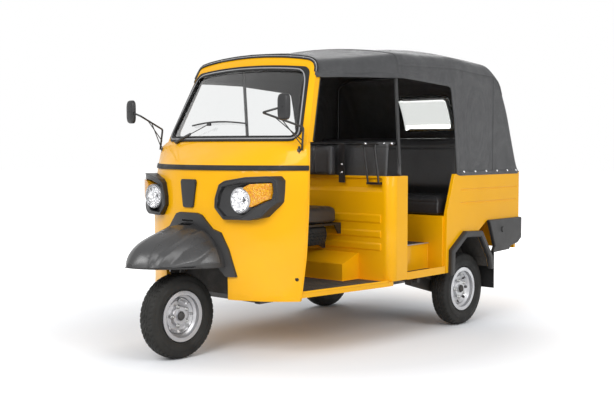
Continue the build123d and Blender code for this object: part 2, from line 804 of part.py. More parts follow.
def arch_prism(grow, x_range, mode=Mode.ADD):
    with BuildSketch(Plane.YZ.offset(x_range[0])) as outline:
        with BuildLine():
            Polyline(*((rear_axle_y + behind, height) for behind, height in arch), close=True)
        make_face()
        fillet(outline.vertices().sort_by(Axis.Y)[1:-1].filter_by(lambda v: v.Z > 400), 40)
        if grow:
            offset(amount=grow, kind=Kind.INTERSECTION, mode=Mode.REPLACE)
    extrude(outline.sketch, amount=x_range[1] - x_range[0], mode=mode)


door_edge = [(552, panel_z), (560, 778), (648, waist)]
# behind the arch the panel ends above the corner box, and leaves a gap beside the flare
side_outline = [*door_edge, (tail_y, waist), (tail_y, 690), (rear_axle_y + 195, 700), (rear_axle_y + 83, 632),
                (rear_axle_y + 205, 480), (rear_axle_y + 245, panel_z)]
groove_heights = (835, 924)


def make_side_panel(side, name):
    skin = sorted((side * (body_half - wall), side * body_half))
    reach = sorted((side * liner_x, side * body_half))
    through = (reach[0] - 1, reach[1] + 1)
    with BuildPart() as side_panel:
        side_prism(side_outline, skin)
        arch_prism(sheet, reach)
        arch_prism(0, through, mode=Mode.SUBTRACT)
        block(through, (400, tail_y), (300, panel_z), mode=Mode.SUBTRACT)
        # two pressed grooves along the flank
        for height in groove_heights:
            face = side * body_half
            groove = sorted((face, face - side * 4))
            block(groove, (720, tail_y - 40), (height - 5, height + 5), mode=Mode.SUBTRACT)
        # the bench box stands inside, clear of the liner
        beside_bench = sorted((side * (liner_x - 1), side * (body_half - wall)))
        block(beside_bench, (500, bench_y + bench_wall + seat_gap), (300, 800), Mode.SUBTRACT)
    save(side_panel, name)


def make_wheel_flares():
    with BuildPart() as wheel_flares:
        arch_prism(flare_band, (body_half + seat_gap, body_half + flare_depth))
        arch_prism(0, (600, 800), mode=Mode.SUBTRACT)
        block((600, 800), (400, tail_y), (200, 368), mode=Mode.SUBTRACT)
        chamfer(wheel_flares.faces().sort_by(Axis.X)[-1].edges(), 8)
        mirror(about=Plane.YZ)
    save(wheel_flares, "wheel_flares")


corner_outline = [(tail_y - 387, 477), (tail_y - 359, 519), (tail_y - 439, 706), (tail_y, 706), (tail_y, 556),
                  (tail_y - 51, 523), (tail_y - 149, 510), (tail_y - 165, 485)]
cap_centre, cap_radius = (tail_y - 261, 633), 19


def make_corner_boxes():
    with BuildPart() as corner_boxes:
        side_prism(corner_outline, (body_half + seat_gap, body_half + 26), radius=9)
        chamfer(corner_boxes.faces().sort_by(Axis.X)[-1].edges(), 5)
        with BuildSketch(Plane.YZ.offset(body_half + 10)):
            with Locations(cap_centre):
                Circle(cap_radius)
        extrude(amount=22)
        arch_prism(flare_band + 1, (600, 800), mode=Mode.SUBTRACT)
        mirror(about=Plane.YZ)
    save(corner_boxes, "corner_boxes")


tail_low = 482                      # lower edge of the rear panel
door_half, door_low, door_high = 430, 500, 900
hinge_radius = 8
hinge = (tail_y - wall / 2, door_high + 18)
hinge_places = (-door_half + 60, door_half - 60)
hinge_room = 34                     # opening above the door, for its hinge
door_gap = 5
lamp_in, lamp_out = body_half - 140, body_half - 60
lamp_low, lamp_high, lamp_pocket = 740, 880, 14


def make_rear_panel():
    inside = body_half - wall - seat_gap
    through = (tail_y - wall - 1, tail_y + 1)
    with BuildPart() as rear_panel:
        block((-inside, inside), (tail_y - wall, tail_y), (tail_low, waist))
        block((-door_half, door_half), through, (door_low, door_high + hinge_room), Mode.SUBTRACT)
        for side in (LEFT, RIGHT):
            pocket = sorted((side * (lamp_in - seat_gap), side * (lamp_out + seat_gap)))
            heights = (lamp_low - seat_gap, lamp_high + seat_gap)
            block(pocket, (tail_y - lamp_pocket, tail_y + 1), heights, Mode.SUBTRACT)
        # the hinge's ears hang from the top of the opening
        for x in hinge_places:
            ear = (door_high + 10, door_high + hinge_room + 2)
            block((x - 12, x + 12), (tail_y - wall, tail_y - 2), ear)
        with BuildSketch(Plane.YZ.offset(-door_half)):
            with Locations(hinge):
                Circle(hinge_radius + running)
        extrude(amount=2 * door_half, mode=Mode.SUBTRACT)
    save(rear_panel, "rear_panel")


def make_engine_door():
    """A pressed lid with a returned edge, two hinge arms and a row of cooling louvres."""
    outer_half = door_half - door_gap
    face, back = tail_y - 4, tail_y - wall
    with BuildPart() as engine_door:
        block((-outer_half, outer_half), (back + 5, face), (door_low + door_gap, door_high - door_gap))
        inner = outer_half - wall
        block((-inner, inner), (back, face - sheet), (door_low + wall, door_high - wall), Mode.SUBTRACT)
        for x in hinge_places:
            block((x + 14, x + 34), (hinge[0] - 4, hinge[0] + 4), (door_high - wall, hinge[1]))
            with BuildSketch(Plane.YZ.offset(x - 14)):
                with Locations(hinge):
                    Circle(hinge_radius)
            extrude(amount=50)
        for height in range(door_low + 80, door_high - 60, 34):
            block((-220, 220), (back, tail_y), (height, height + 12), Mode.SUBTRACT)
    save(engine_door, "engine_door")


def make_bench():
    with BuildPart() as bench_cushion:
        block((-bench_half, bench_half), (bench_y - 12, 860), (bench_top + seat_gap, 885))
        fillet(bench_cushion.faces().sort_by(Axis.Z)[-1].edges(), 24)
    save(bench_cushion, "bench_cushion")
    with BuildPart() as bench_backrest:
        foot = bench_top + seat_gap
        side_prism([(862, foot), (862, 880), (800, 940), (860, 1290), (950, 1290), (950, foot)],
                   (-bench_half, bench_half), radius=10)
    save(bench_backrest, "bench_backrest")


flap_top = 478.4


def make_mud_flaps():
    with BuildPart() as mud_flaps:
        block((track / 2 - 20, body_half + 2), (rear_axle_y + 293, rear_axle_y + 297), (225, flap_top))
        mirror(about=Plane.YZ)
    save(mud_flaps, "mud_flaps")


# ---- hood ---------------------------------------------------------------------------------
# Cross sections of the hood: y, half width, height of the shoulder, height of the crown.
HoodBow = namedtuple("HoodBow", "y half shoulder crown")
hood_bows = [
    HoodBow(-500, 505, 1695, 1772),
    HoodBow(post_y, body_half - 6, 1765, 1843),
    HoodBow(640, body_half, 1776, 1880),
    HoodBow(1000, body_half, 1752, 1890),
    HoodBow(1500, body_half, 1752, 1890),
]
hem_z = 1607                        # the hem over the door, at its rear corner
# the hood's back, in side view (y, z), from its foot to the roof
hood_back = [(tail_y + 3, waist + 4), (1325, 1479), (1212, 1680), (1120, 1735), (985, 1845), (900, 1905)]


def hood_at(y):
    """Half width, shoulder and crown of the hood at y, under its sloping back."""
    fore, aft = next(pair for pair in zip(hood_bows, hood_bows[1:]) if pair[0].y <= y <= pair[1].y)
    share = (y - fore.y) / (aft.y - fore.y)
    half, shoulder, crown = (a + share * (b - a) for a, b in zip(fore[1:], aft[1:]))
    for (low_y, low_z), (high_y, high_z) in zip(hood_back, hood_back[1:]):
        if high_y <= y <= low_y:
            limit = low_z + (low_y - y) / (low_y - high_y) * (high_z - low_z)
            shoulder, crown = min(shoulder, limit - 34), min(crown, limit)
    return half, shoulder, crown


def hood_form(inset):
    with BuildPart() as form:
        for bow in hood_bows:
            with BuildSketch(Plane.XZ.offset(-bow.y)):
                with BuildLine():
                    half = bow.half - inset
                    eave = (half - 60, bow.shoulder - inset + 22)
                    edge, side_top = (half - 14, bow.shoulder - 22), (half, bow.shoulder - 80)
                    roof = ThreePointArc((-eave[0], eave[1]), (0, bow.crown - inset), eave)
                    left = ThreePointArc(roof @ 1, edge, side_top)
                    right = ThreePointArc(roof @ 0, (-edge[0], edge[1]), (-side_top[0], side_top[1]))
                    foot = waist + seat_gap - inset
                    Polyline(left @ 1, (half, foot), (-half, foot), right @ 1)
                make_face()
        loft(ruled=True)
        back = [(y - inset, z) for y, z in hood_back]
        side_prism([(-1000, 900), (-1000, 2000), (1000, 2000), *reversed(back), (back[0][0], 900)],
                   (-900, 900), mode=Mode.INTERSECT)
    return form.part


edge_foot_y = 684                   # foot of the hood's edge behind the passengers' doorway


def make_canopy():
    with BuildPart() as canopy:
        add(hood_form(0))
        add(hood_form(canopy_thickness), mode=Mode.SUBTRACT)
        # door openings, up to the stitched hem
        door = [(-1000, 900), (-1000, hem_z), (-500, hem_z + 14), (50, hem_z + 34), (582, hem_z),
                (606, hem_z - 26), (645, 1394), (edge_foot_y, waist), (edge_foot_y, 900)]
        side_prism(door, (-900, 900), mode=Mode.SUBTRACT)
        # the clear rear window
        window = mirrored([(255, 1590), (255, 1322)])
        front_prism(window, (1150, 1500), radius=24, mode=Mode.SUBTRACT)
        # the front edge lies against the raked back of the screen frame
        base, top = screen_sections
        back = frame_depth + seat_gap
        side_prism([(-1200, base.z), (base.flange_y + back, base.z), (top.flange_y + back, top.z),
                    (top.flange_y + back + 40, top.z + 98), (-1200, top.z + 98)],
                   (-900, 900), mode=Mode.SUBTRACT)
    save(canopy, "canopy")


bow_inset = canopy_thickness + bow_radius + 4
post_lean = 50                      # the middle posts lean forward by this, foot to shoulder


def make_hood_frame():
    """Three tubular bows inside the hood; the first is the middle posts'."""
    feet = ((post_y, bulkhead_top, post_lean), (edge_foot_y + 22, waist, 0), (1110, waist, 0))
    with BuildPart() as canopy_frame:
        for y, foot, lean in feet:
            half, shoulder, crown = hood_at(y - lean)
            half -= bow_inset
            top, eave, foot = y - lean, half - 110, foot + seat_gap
            with BuildLine() as bow:
                FilletPolyline((-half, y, foot), (-half, top, shoulder - 40), (-eave, top, shoulder + 4),
                               (0, top, crown - bow_inset - 2), (eave, top, shoulder + 4),
                               (half, top, shoulder - 40), (half, y, foot), radius=(60, 60, 300, 60, 60))
            with BuildSketch(Plane(origin=(-half, y, foot), z_dir=bow.line % 0)):
                Circle(bow_radius)
            sweep(path=bow.line)
            # the feet are cut level with what they stand on
            block((-body_half, body_half), (y - 60, y + 60), (foot - 40, foot), Mode.SUBTRACT)
    save(canopy_frame, "canopy_frame")


rail_y, rail_z, rail_radius = 2, 1229, 13               # the grab rail behind the driver


def make_partition():
    """A vinyl sheet, hung from the grab rail down behind the bulkhead."""
    top, low = rail_z - rail_radius - seat_gap, bulkhead_top - 30
    behind = bulkhead_y + wall + seat_gap
    with BuildPart() as partition:
        side_prism([(behind, low), (behind + 5, low), (rail_y + 3, top), (rail_y - 2, top)],
                   (60 - body_half, body_half - 60))
    save(partition, "partition")


grab_tubes = (532, 614)             # the tubes of the grab frames on the bulkhead's corners


def make_handrails():
    half, shoulder, _ = hood_at(post_y - post_lean)
    post_face = half - bow_inset - bow_radius - seat_gap
    end_y = post_y - post_lean * (rail_z - bulkhead_top) / (shoulder - 40 - bulkhead_top)
    joggle = body_half - 78
    with BuildPart() as handrails:
        add(tube([(-post_face, end_y, rail_z), (-joggle, end_y, rail_z), (52 - joggle, rail_y, rail_z),
                  (joggle - 52, rail_y, rail_z), (joggle, end_y, rail_z), (post_face, end_y, rail_z)],
                 (25, 40, 40, 25), rail_radius))
        plate = (grab_tubes[0] - 10, grab_tubes[1] + 10)
        for side in (LEFT, RIGHT):
            for x in grab_tubes:
                add(tube([(side * x, -62, 985), (side * x, -108, 1215)], (), 6))
            across = sorted(side * x for x in plate)
            block(across, (-114, -102), (1206, 1222))
            block(across, (-66, bulkhead_y + 14), (978, 992))
            # the flat bar that holds the backrest's end
            bar = sorted((side * (backrest_half + seat_gap), side * (backrest_half + 44)))
            block(bar, (bulkhead_y - 12, bulkhead_y - seat_gap), (985, rail_z))
    save(handrails, "handrails")


# ---- machinery ----------------------------------------------------------------------------
def make_engine():
    with BuildPart() as engine:
        block((-190, 190), (620, 1220), (250, 560))
        chamfer(engine.edges().filter_by(Axis.X), 24)
        block((-130, 130), (1200, 1260 - seat_gap), (290, 350))
    save(engine, "engine")
    with BuildPart() as silencer:
        with BuildSketch(Plane.YZ.offset(-250)):
            with Locations((1385, 385)):
                Ellipse(66, 50)
        extrude(amount=400)
        block((-70, -30), (rail_end_y + seat_gap, 1340), (318, 360))
    save(silencer, "silencer")


column_top = 1036


def make_fork():
    axle = (0, front_axle_y, tyre_radius)
    leg_x = -86
    with BuildPart() as fork:
        with BuildSketch(steering.offset(along_column(560))):
            Circle(column_radius)
        extrude(amount=along_column(column_top - 560) - seat_gap)
        # arm over the tyre, then the leg down its right side
        tube_x = leg_x - 10
        add(tube([(0, steer_y(575), 575), (tube_x, steer_y(560), 560), (tube_x, steer_y(380), 380),
                  (tube_x, axle[1] + 60, 262)], (40, 60), 19))
        with BuildSketch(Plane.YZ.offset(leg_x - 22)):
            with BuildLine():
                Polyline((axle[1] - 34, axle[2] - 26), (axle[1] - 34, axle[2] + 26),
                         (axle[1] + 40, axle[2] + 60), (axle[1] + 84, axle[2] + 36),
                         (axle[1] + 84, axle[2] - 14), close=True)
            make_face()
        extrude(amount=24)
        with BuildSketch(Plane.YZ.offset(leg_x - 22)):
            with Locations(axle[1:]):
                Circle(hub_bore_radius - axle_clearance)
        extrude(amount=-leg_x + 22 + 36)
    save(fork, "fork")


bar_half = 280


def make_handlebar():
    middle_y, bar_z = steer_y(1040) + 20, 1058
    grip_y, grip_z = middle_y + 80, bar_z + 4
    with BuildPart() as handlebar:
        add(tube([(-bar_half, grip_y, grip_z), (-170, middle_y, bar_z), (170, middle_y, bar_z),
                  (bar_half, grip_y, grip_z)], (50, 50), 12))
        for side in (LEFT, RIGHT):
            inner = (side * (bar_half - 86), grip_y - 62.5, bar_z + 0.9)
            add(tube([(side * bar_half, grip_y, grip_z), inner], (), 17))
        with BuildSketch(steering.offset(along_column(column_top))) as housing:
            with Locations((0, -6)):
                Rectangle(170, 96)
            fillet(housing.vertices(), 30)
        extrude(amount=54)
    save(handlebar, "handlebar")


def make_tail_lamps():
    with BuildPart() as tail_lamps:
        block((lamp_in, lamp_out), (tail_y - lamp_pocket + seat_gap, tail_y + 3), (lamp_low, lamp_high))
        mirror(about=Plane.YZ)
    save(tail_lamps, "tail_lamps")


tow_bore_radius, tow_plate = 12, 12
tow_centre = (1348, 330)            # y and z of the eye


def make_tow_eye():
    """A plate with a bored eye on the end of the left chassis rail."""
    with BuildPart() as tow_eye:
        with BuildSketch(Plane.YZ.offset(frame_x - tow_plate / 2)):
            with Locations(tow_centre):
                Circle(27)
            foot_y = rail_end_y + seat_gap
            with Locations(((tow_centre[0] + foot_y) / 2, tow_centre[1])):
                Rectangle(tow_centre[0] - foot_y, 54)
            with Locations(tow_centre):
                Circle(tow_bore_radius, mode=Mode.SUBTRACT)
        extrude(amount=tow_plate)
    save(tow_eye, "tow_eye")


os.makedirs("parts", exist_ok=True)
make_front_cowl()
make_wheel_well()
make_screen()
make_belt_strip()
make_head_lamps()
make_nose_trim()
make_front_fender()
make_mirrors()
make_wiper()
make_dashboard()
make_chassis()
make_trailing_arms()
make_cab_floor()
make_bulkhead()
make_floor_box()
make_driver_seat()
make_seat_frame()
make_spare()
for wheel, (wheel_centre, outward) in wheels.items():
    make_tyre(wheel_centre, f"tyre_{wheel}")
    make_rim(wheel_centre, outward, f"rim_{wheel}")
make_passenger_tub()
make_side_panel(LEFT, "side_panel_l")
make_side_panel(RIGHT, "side_panel_r")
make_wheel_flares()
make_corner_boxes()
make_rear_panel()
make_engine_door()
make_bench()
make_mud_flaps()
make_canopy()
make_hood_frame()
make_partition()
make_handrails()
make_engine()
make_fork()
make_handlebar()
make_tail_lamps()
make_tow_eye()
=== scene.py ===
"""The auto rickshaw's looks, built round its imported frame. Metres, +Z up, the nose points along -Y, the left is +X."""
import json
import math

import bmesh
import bpy
import numpy as np
from mathutils import Matrix, Vector
from mathutils.bvhtree import BVHTree


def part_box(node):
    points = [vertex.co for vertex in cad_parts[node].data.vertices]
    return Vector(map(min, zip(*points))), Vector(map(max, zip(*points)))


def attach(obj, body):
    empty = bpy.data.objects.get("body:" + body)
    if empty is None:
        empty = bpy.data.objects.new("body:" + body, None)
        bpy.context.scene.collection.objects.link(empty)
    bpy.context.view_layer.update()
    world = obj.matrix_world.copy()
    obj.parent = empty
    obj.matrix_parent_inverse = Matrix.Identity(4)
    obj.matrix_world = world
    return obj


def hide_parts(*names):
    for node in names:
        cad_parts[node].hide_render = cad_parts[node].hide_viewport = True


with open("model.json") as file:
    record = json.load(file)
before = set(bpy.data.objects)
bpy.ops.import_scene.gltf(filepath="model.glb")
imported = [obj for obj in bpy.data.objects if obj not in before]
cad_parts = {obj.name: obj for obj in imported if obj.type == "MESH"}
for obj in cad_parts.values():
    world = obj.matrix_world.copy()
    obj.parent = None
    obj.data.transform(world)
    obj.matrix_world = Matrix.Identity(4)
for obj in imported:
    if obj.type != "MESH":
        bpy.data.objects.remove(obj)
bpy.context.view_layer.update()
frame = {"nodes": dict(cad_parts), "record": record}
nodes = frame["nodes"]

LEFT, RIGHT = 1, -1
SIDES = (("l", LEFT), ("r", RIGHT))
MM = 0.001

# ---- camera -------------------------------------------------------------------------------
CAMERA_AZIMUTH, CAMERA_ELEVATION = math.radians(41.42), math.radians(3.24)
CAMERA_DISTANCE, CAMERA_LENS = 6.511, 58.46
CAMERA_TARGET = Vector((0.0, -0.025, 0.842))


def make_camera():
    camera = bpy.data.objects.new("camera", bpy.data.cameras.new("camera"))
    bpy.context.scene.collection.objects.link(camera)
    level = math.cos(CAMERA_ELEVATION)
    back = Vector((math.sin(CAMERA_AZIMUTH) * level, -math.cos(CAMERA_AZIMUTH) * level, math.sin(CAMERA_ELEVATION)))
    camera.location = CAMERA_TARGET + back * CAMERA_DISTANCE
    camera.rotation_mode = "QUATERNION"
    camera.rotation_quaternion = (-back).to_track_quat("-Z", "Y")
    camera.data.lens = CAMERA_LENS
    camera.data.sensor_width = 36
    bpy.context.scene.camera = camera


# ---- shader nodes -------------------------------------------------------------------------
def node(tree, kind, inputs=None, out=0, **settings):
    """Adds a shader node, sets it, links or fills its inputs, and gives one of its outputs."""
    made = tree.nodes.new("ShaderNode" + kind)
    for key, value in settings.items():
        setattr(made, key, value)
    for key, value in (inputs or {}).items():
        if isinstance(value, bpy.types.NodeSocket):
            tree.links.new(value, made.inputs[key])
        else:
            made.inputs[key].default_value = value
    return made.outputs[out]


def new_material(name):
    material = bpy.data.materials.new(name)
    material.use_nodes = True
    return material, material.node_tree, material.node_tree.nodes["Principled BSDF"]


def place_of(tree):
    return node(tree, "TexCoord", out="Object")


def noise(tree, scale, detail=3):
    return node(tree, "TexNoise", {"Vector": place_of(tree), "Scale": scale, "Detail": detail})


def spread(tree, value, low, high, start=0.35, end=0.65):
    return node(tree, "MapRange", {"Value": value, "From Min": start, "From Max": end, "To Min": low, "To Max": high})


def maths(tree, operation, a, b=0.0):
    return node(tree, "Math", {0: a, 1: b}, operation=operation)


def mixed(tree, factor, a, b):
    colours = [c if isinstance(c, bpy.types.NodeSocket) else (*c, 1) for c in (a, b)]
    return node(tree, "Mix", {0: factor, 6: colours[0], 7: colours[1]}, out=2, data_type="RGBA")


def axis_of(tree, axis):
    return node(tree, "SeparateXYZ", {0: place_of(tree)}, out=axis)


def bumped(tree, height, distance, normal=None):
    inputs = {"Height": height, "Distance": distance, "Strength": 1.0}
    if normal is not None:
        inputs["Normal"] = normal
    return node(tree, "Bump", inputs)


def shown_directly(tree):
    """1 for rays that show the background as it is: from the camera, in gloss and through glass."""
    path = tree.nodes.new("ShaderNodeLightPath").outputs
    return maths(tree, "MAXIMUM", maths(tree, "MAXIMUM", path["Is Camera Ray"], path["Is Glossy Ray"]),
                 path["Is Transmission Ray"])


# ---- studio -------------------------------------------------------------------------------
WORLD_LIGHT, FLOOR_HALF = 0.62, 40
FLOOR_SHADOW_NEAR, FLOOR_SHADOW_FAR = 1.2, 4.5        # distances from the middle between which the floor, as shown, brightens out of its painted shadow
LAMPS = (("key", (1.8, -6.2, 4.4), (0, -0.2, 0.8), (4.0, 3.0), 265),
         ("side", (6.5, -1.0, 3.8), (0, 0, 0.9), (4.0, 2.5), 150),
         ("back", (-3.0, 5.5, 4.5), (0, 0.3, 1.0), (3.5, 2.5), 120))


def make_studio():
    bpy.context.scene.view_settings.view_transform = "Standard"
    world = bpy.data.worlds.new("studio")
    bpy.context.scene.world = world
    world.use_nodes = True
    tree = world.node_tree
    tree.nodes["Background"].inputs["Color"].default_value = (1, 1, 1, 1)
    strength = spread(tree, shown_directly(tree), WORLD_LIGHT, 1.0, 0.0, 1.0)
    tree.links.new(strength, tree.nodes["Background"].inputs["Strength"])
    for name, place, target, size, power in LAMPS:
        lamp = bpy.data.lights.new(name, "AREA")
        lamp.shape = "RECTANGLE"
        lamp.size, lamp.size_y = size
        lamp.energy = power
        holder = bpy.data.objects.new(name, lamp)
        bpy.context.scene.collection.objects.link(holder)
        holder.location = place
        holder.rotation_mode = "QUATERNION"
        holder.rotation_quaternion = (Vector(target) - Vector(place)).to_track_quat("-Z", "Y")
    floor = grid_piece("floor", [[(x * FLOOR_HALF, y * FLOOR_HALF, 0) for x in (-1, 1)] for y in (-1, 1)])
    floor.data.materials.append(floor_finish())


def floor_finish():
    """Pale; where it is shown directly it is bright enough to meet the background, shadow and all, and near the middle
    it is painted darker, a painted shadow round the object.
    """
    material, tree, shader = new_material("pale_floor")
    away = node(tree, "VectorMath", {0: place_of(tree)}, out=1, operation="LENGTH")
    # painted shadow: the floor's colour is darker near the middle and brightens outwards
    pale = mixed(tree, spread(tree, away, 0.0, 1.0, FLOOR_SHADOW_NEAR, FLOOR_SHADOW_FAR), (0.90, 0.92, 0.95), (1.9, 1.9, 1.9))
    shade = mixed(tree, shown_directly(tree), (0.6, 0.6, 0.6), pale)
    tree.links.new(shade, shader.inputs["Base Color"])
    shader.inputs["Roughness"].default_value = 1.0
    shader.inputs["Specular IOR Level"].default_value = 0.0
    return material


# ---- materials ----------------------------------------------------------------------------
DUST = (0.30, 0.25, 0.19)
DUST_FLOOR, DUST_TOP = 0.05, 0.75                       # heights between which dust thins out
PATCH_SCALE, DUST_SCALE, GLOSS_SCALE = 2.5, 9, 14       # noise scales of colour patches, dust and uneven gloss


def finish(name, colour, shade, roughness, grain=(), dust=0.0, **sockets):
    """A worn surface: colour drifting to shade in patches, dust low down, uneven gloss, and grain.

    grain is rows of (kind, scale, depth), the kinds noise and cells. sockets are the shader's own."""
    material, tree, shader = new_material(name)
    base = mixed(tree, spread(tree, noise(tree, PATCH_SCALE, 5), 0.0, 1.0), colour, shade)
    if dust:
        low = spread(tree, axis_of(tree, 2), dust, 0.0, DUST_FLOOR, DUST_TOP)
        base = mixed(tree, maths(tree, "MULTIPLY", low, spread(tree, noise(tree, DUST_SCALE, 6), 0.3, 1.0)), base, DUST)
    tree.links.new(base, shader.inputs["Base Color"])
    gloss = spread(tree, noise(tree, GLOSS_SCALE, 6), roughness * 0.85, roughness * 1.15)
    tree.links.new(gloss, shader.inputs["Roughness"])
    normal = None
    for kind, scale, depth in grain:
        if kind == "noise":
            height = noise(tree, scale, 4)
        else:
            height = node(tree, "TexVoronoi", {"Vector": place_of(tree), "Scale": scale}, feature="SMOOTH_F1")
        normal = bumped(tree, height, depth, normal)
    if normal is not None:
        tree.links.new(normal, shader.inputs["Normal"])
    for key, value in sockets.items():
        shader.inputs[key.replace("_", " ")].default_value = value
    return material


def painted_body():
    """Two-pack yellow: slight orange peel, a clear coat, and road dust low down."""
    return finish("body_paint", (0.92, 0.455, 0.0008), (0.87, 0.42, 0.0008), 0.36, [("noise", 260, 0.00020)],
                  dust=0.08, Specular_IOR_Level=0.12, Coat_Weight=0.22, Coat_Roughness=0.05)


# dark underside coating for the wheel well, also used as painted shade on the rear arch plates and the side panels'
# inner faces
def underseal_and_shade_finish():
    return finish("underseal_and_painted_shade", (0.020, 0.020, 0.021), (0.035, 0.033, 0.031), 0.75, [("noise", 90, 0.003)], dust=0.25)


def woven(name, colour, shade, roughness, thread, depth, sheen=0.0):
    """Coated cloth: crossing threads, and soft creases."""
    material = finish(name, colour, shade, roughness, [("noise", 7, 0.012), ("noise", 40, 0.0015)],
                      Sheen_Weight=sheen)
    tree, shader = material.node_tree, material.node_tree.nodes["Principled BSDF"]
    threads = [node(tree, "TexWave", {"Vector": place_of(tree), "Scale": thread, "Distortion": 0.3},
                    out=1, bands_direction=axis) for axis in ("X", "Y", "Z")]
    weave = maths(tree, "MULTIPLY", maths(tree, "ADD", threads[0], threads[1]), threads[2])
    before = shader.inputs["Normal"].links[0].from_socket
    tree.links.new(bumped(tree, weave, depth, before), shader.inputs["Normal"])
    return material


def glass(name, colour, roughness=0.0, grain=None, weight=1.0):
    material, tree, shader = new_material(name)
    shader.inputs["Base Color"].default_value = (*colour, 1)
    shader.inputs["Transmission Weight"].default_value = weight
    shader.inputs["IOR"].default_value = 1.46
    smear = spread(tree, noise(tree, 5, 5), roughness, roughness + 0.03)
    tree.links.new(smear, shader.inputs["Roughness"])
    if grain:
        height = node(tree, "TexVoronoi", {"Vector": place_of(tree), "Scale": grain[0]}, distance="CHEBYCHEV")
        tree.links.new(bumped(tree, height, grain[1]), shader.inputs["Normal"])
    return material


def amber_with_painted_glints():
    """Amber lens, finely ribbed: each moulded facet is painted bright in its middle and darker towards its edges, a
    painted reflection.
    """
    material = glass("lamp_amber", (1.0, 0.43, 0.005), 0.08, (110, 0.003), 0.25)
    tree, shader = material.node_tree, material.node_tree.nodes["Principled BSDF"]
    cells = node(tree, "TexVoronoi", {"Vector": place_of(tree), "Scale": 95.0}, distance="CHEBYCHEV")
    # painted reflection: each facet's colour runs from bright amber at its middle to dark amber at its edges
    base = mixed(tree, spread(tree, cells, 0.0, 1.0, 0.15, 0.75), (1.0, 0.56, 0.01), (0.80, 0.24, 0.004))
    tree.links.new(base, shader.inputs["Base Color"])
    return material


def tyre_finish():
    """Dusty rubber, dustier low down."""
    return finish("tyre_rubber", (0.011, 0.011, 0.011), (0.018, 0.018, 0.017), 0.66,
                  [("noise", 300, 0.0004), ("noise", 30, 0.0008)], dust=0.03, Specular_IOR_Level=0.28)


def make_looks():
    return {
        "body_paint": painted_body(),
        "grey_moulding": finish("grey_moulding", (0.020, 0.020, 0.021), (0.028, 0.028, 0.029), 0.40,
                                [("cells", 900, 0.00016)], dust=0.08, Specular_IOR_Level=0.32),
        "black_rubber": finish("black_rubber", (0.010, 0.010, 0.010), (0.016, 0.016, 0.016), 0.62,
                               [("noise", 420, 0.0003)], Specular_IOR_Level=0.3),
        "black_steel": finish("black_steel", (0.012, 0.012, 0.013), (0.020, 0.020, 0.021), 0.34,
                              [("noise", 220, 0.0003)], dust=0.12),
        "dark_steel": finish("dark_steel", (0.030, 0.030, 0.032), (0.055, 0.053, 0.050), 0.5,
                             [("noise", 120, 0.0006)], dust=0.25, Metallic=0.4),
        "cast_alloy": finish("cast_alloy", (0.30, 0.30, 0.31), (0.20, 0.20, 0.21), 0.55,
                             [("noise", 160, 0.0015)], dust=0.3, Metallic=0.8),
        "wheel_steel": finish("wheel_steel", (0.56, 0.57, 0.59), (0.47, 0.47, 0.49), 0.33,
                              [("noise", 500, 0.0002)], dust=0.16, Metallic=0.75),
        "tyre_rubber": tyre_finish(),
        "clear_glass": glass("clear_glass", (0.87, 0.88, 0.88)),
        "lamp_clear": glass("lamp_clear", (0.98, 0.98, 0.98)),
        "lamp_amber": amber_with_painted_glints(),
        "lamp_red": glass("lamp_red", (0.75, 0.015, 0.01), 0.14, (120, 0.0012), 0.5),
        "hood_fabric": woven("hood_fabric", (0.030, 0.031, 0.034), (0.042, 0.043, 0.046), 0.58, 420, 0.0004, 0.15),
        "seat_vinyl": finish("seat_vinyl", (0.020, 0.020, 0.022), (0.030, 0.030, 0.032), 0.42,
                             [("cells", 330, 0.0009), ("noise", 18, 0.0025)]),
        # pale grey: a painted highlight on the windscreen seal, and the header's pale strip
        "pale_strip_and_painted_highlight": finish("pale_strip_and_painted_highlight", (0.34, 0.34, 0.35), (0.26, 0.26, 0.27), 0.35, [("noise", 300, 0.0001)]),
        "fender_plastic": finish("fender_plastic", (0.030, 0.030, 0.031), (0.040, 0.040, 0.041), 0.30,
                                 [("cells", 900, 0.00012)], Specular_IOR_Level=0.6),
        "partition_vinyl": finish("partition_vinyl", (0.058, 0.059, 0.062), (0.042, 0.043, 0.045), 0.5,
                                  [("cells", 330, 0.0006), ("noise", 14, 0.004)]),
        "underseal_and_painted_shade": underseal_and_shade_finish(),
        "chrome": finish("chrome", (0.86, 0.86, 0.87), (0.80, 0.80, 0.82), 0.08, [("noise", 60, 0.0001)], Metallic=1.0),
        "reflector": finish("reflector", (0.80, 0.80, 0.82), (0.66, 0.66, 0.68), 0.07, Metallic=0.93),
        "bright_trim": finish("bright_trim", (0.62, 0.63, 0.65), (0.52, 0.53, 0.55), 0.30, [("noise", 300, 0.0001)],
                              Metallic=0.35),
        "dark_bucket": finish("dark_bucket", (0.012, 0.012, 0.013), (0.018, 0.018, 0.019), 0.38,
                              [("cells", 900, 0.0002)]),
        "mirror_glass": finish("mirror_glass", (0.75, 0.77, 0.79), (0.72, 0.74, 0.76), 0.02, Metallic=1.0),
        "mat": finish("mat", (0.022, 0.022, 0.023), (0.035, 0.033, 0.030), 0.78, [("cells", 160, 0.0035)], dust=0.35),
        "zinc": finish("zinc", (0.55, 0.55, 0.54), (0.42, 0.42, 0.41), 0.36, [("noise", 200, 0.0003)], Metallic=0.9),
        "clear_vinyl": glass("clear_vinyl", (0.80, 0.82, 0.80), 0.10),
        "inner_panel": finish("inner_panel", (0.030, 0.030, 0.032), (0.045, 0.044, 0.043), 0.62,
                              [("noise", 200, 0.0006)], dust=0.12),
        "seat_thread": finish("seat_thread", (0.10, 0.10, 0.105), (0.14, 0.14, 0.145), 0.6, [("noise", 900, 0.0001)]),
    }


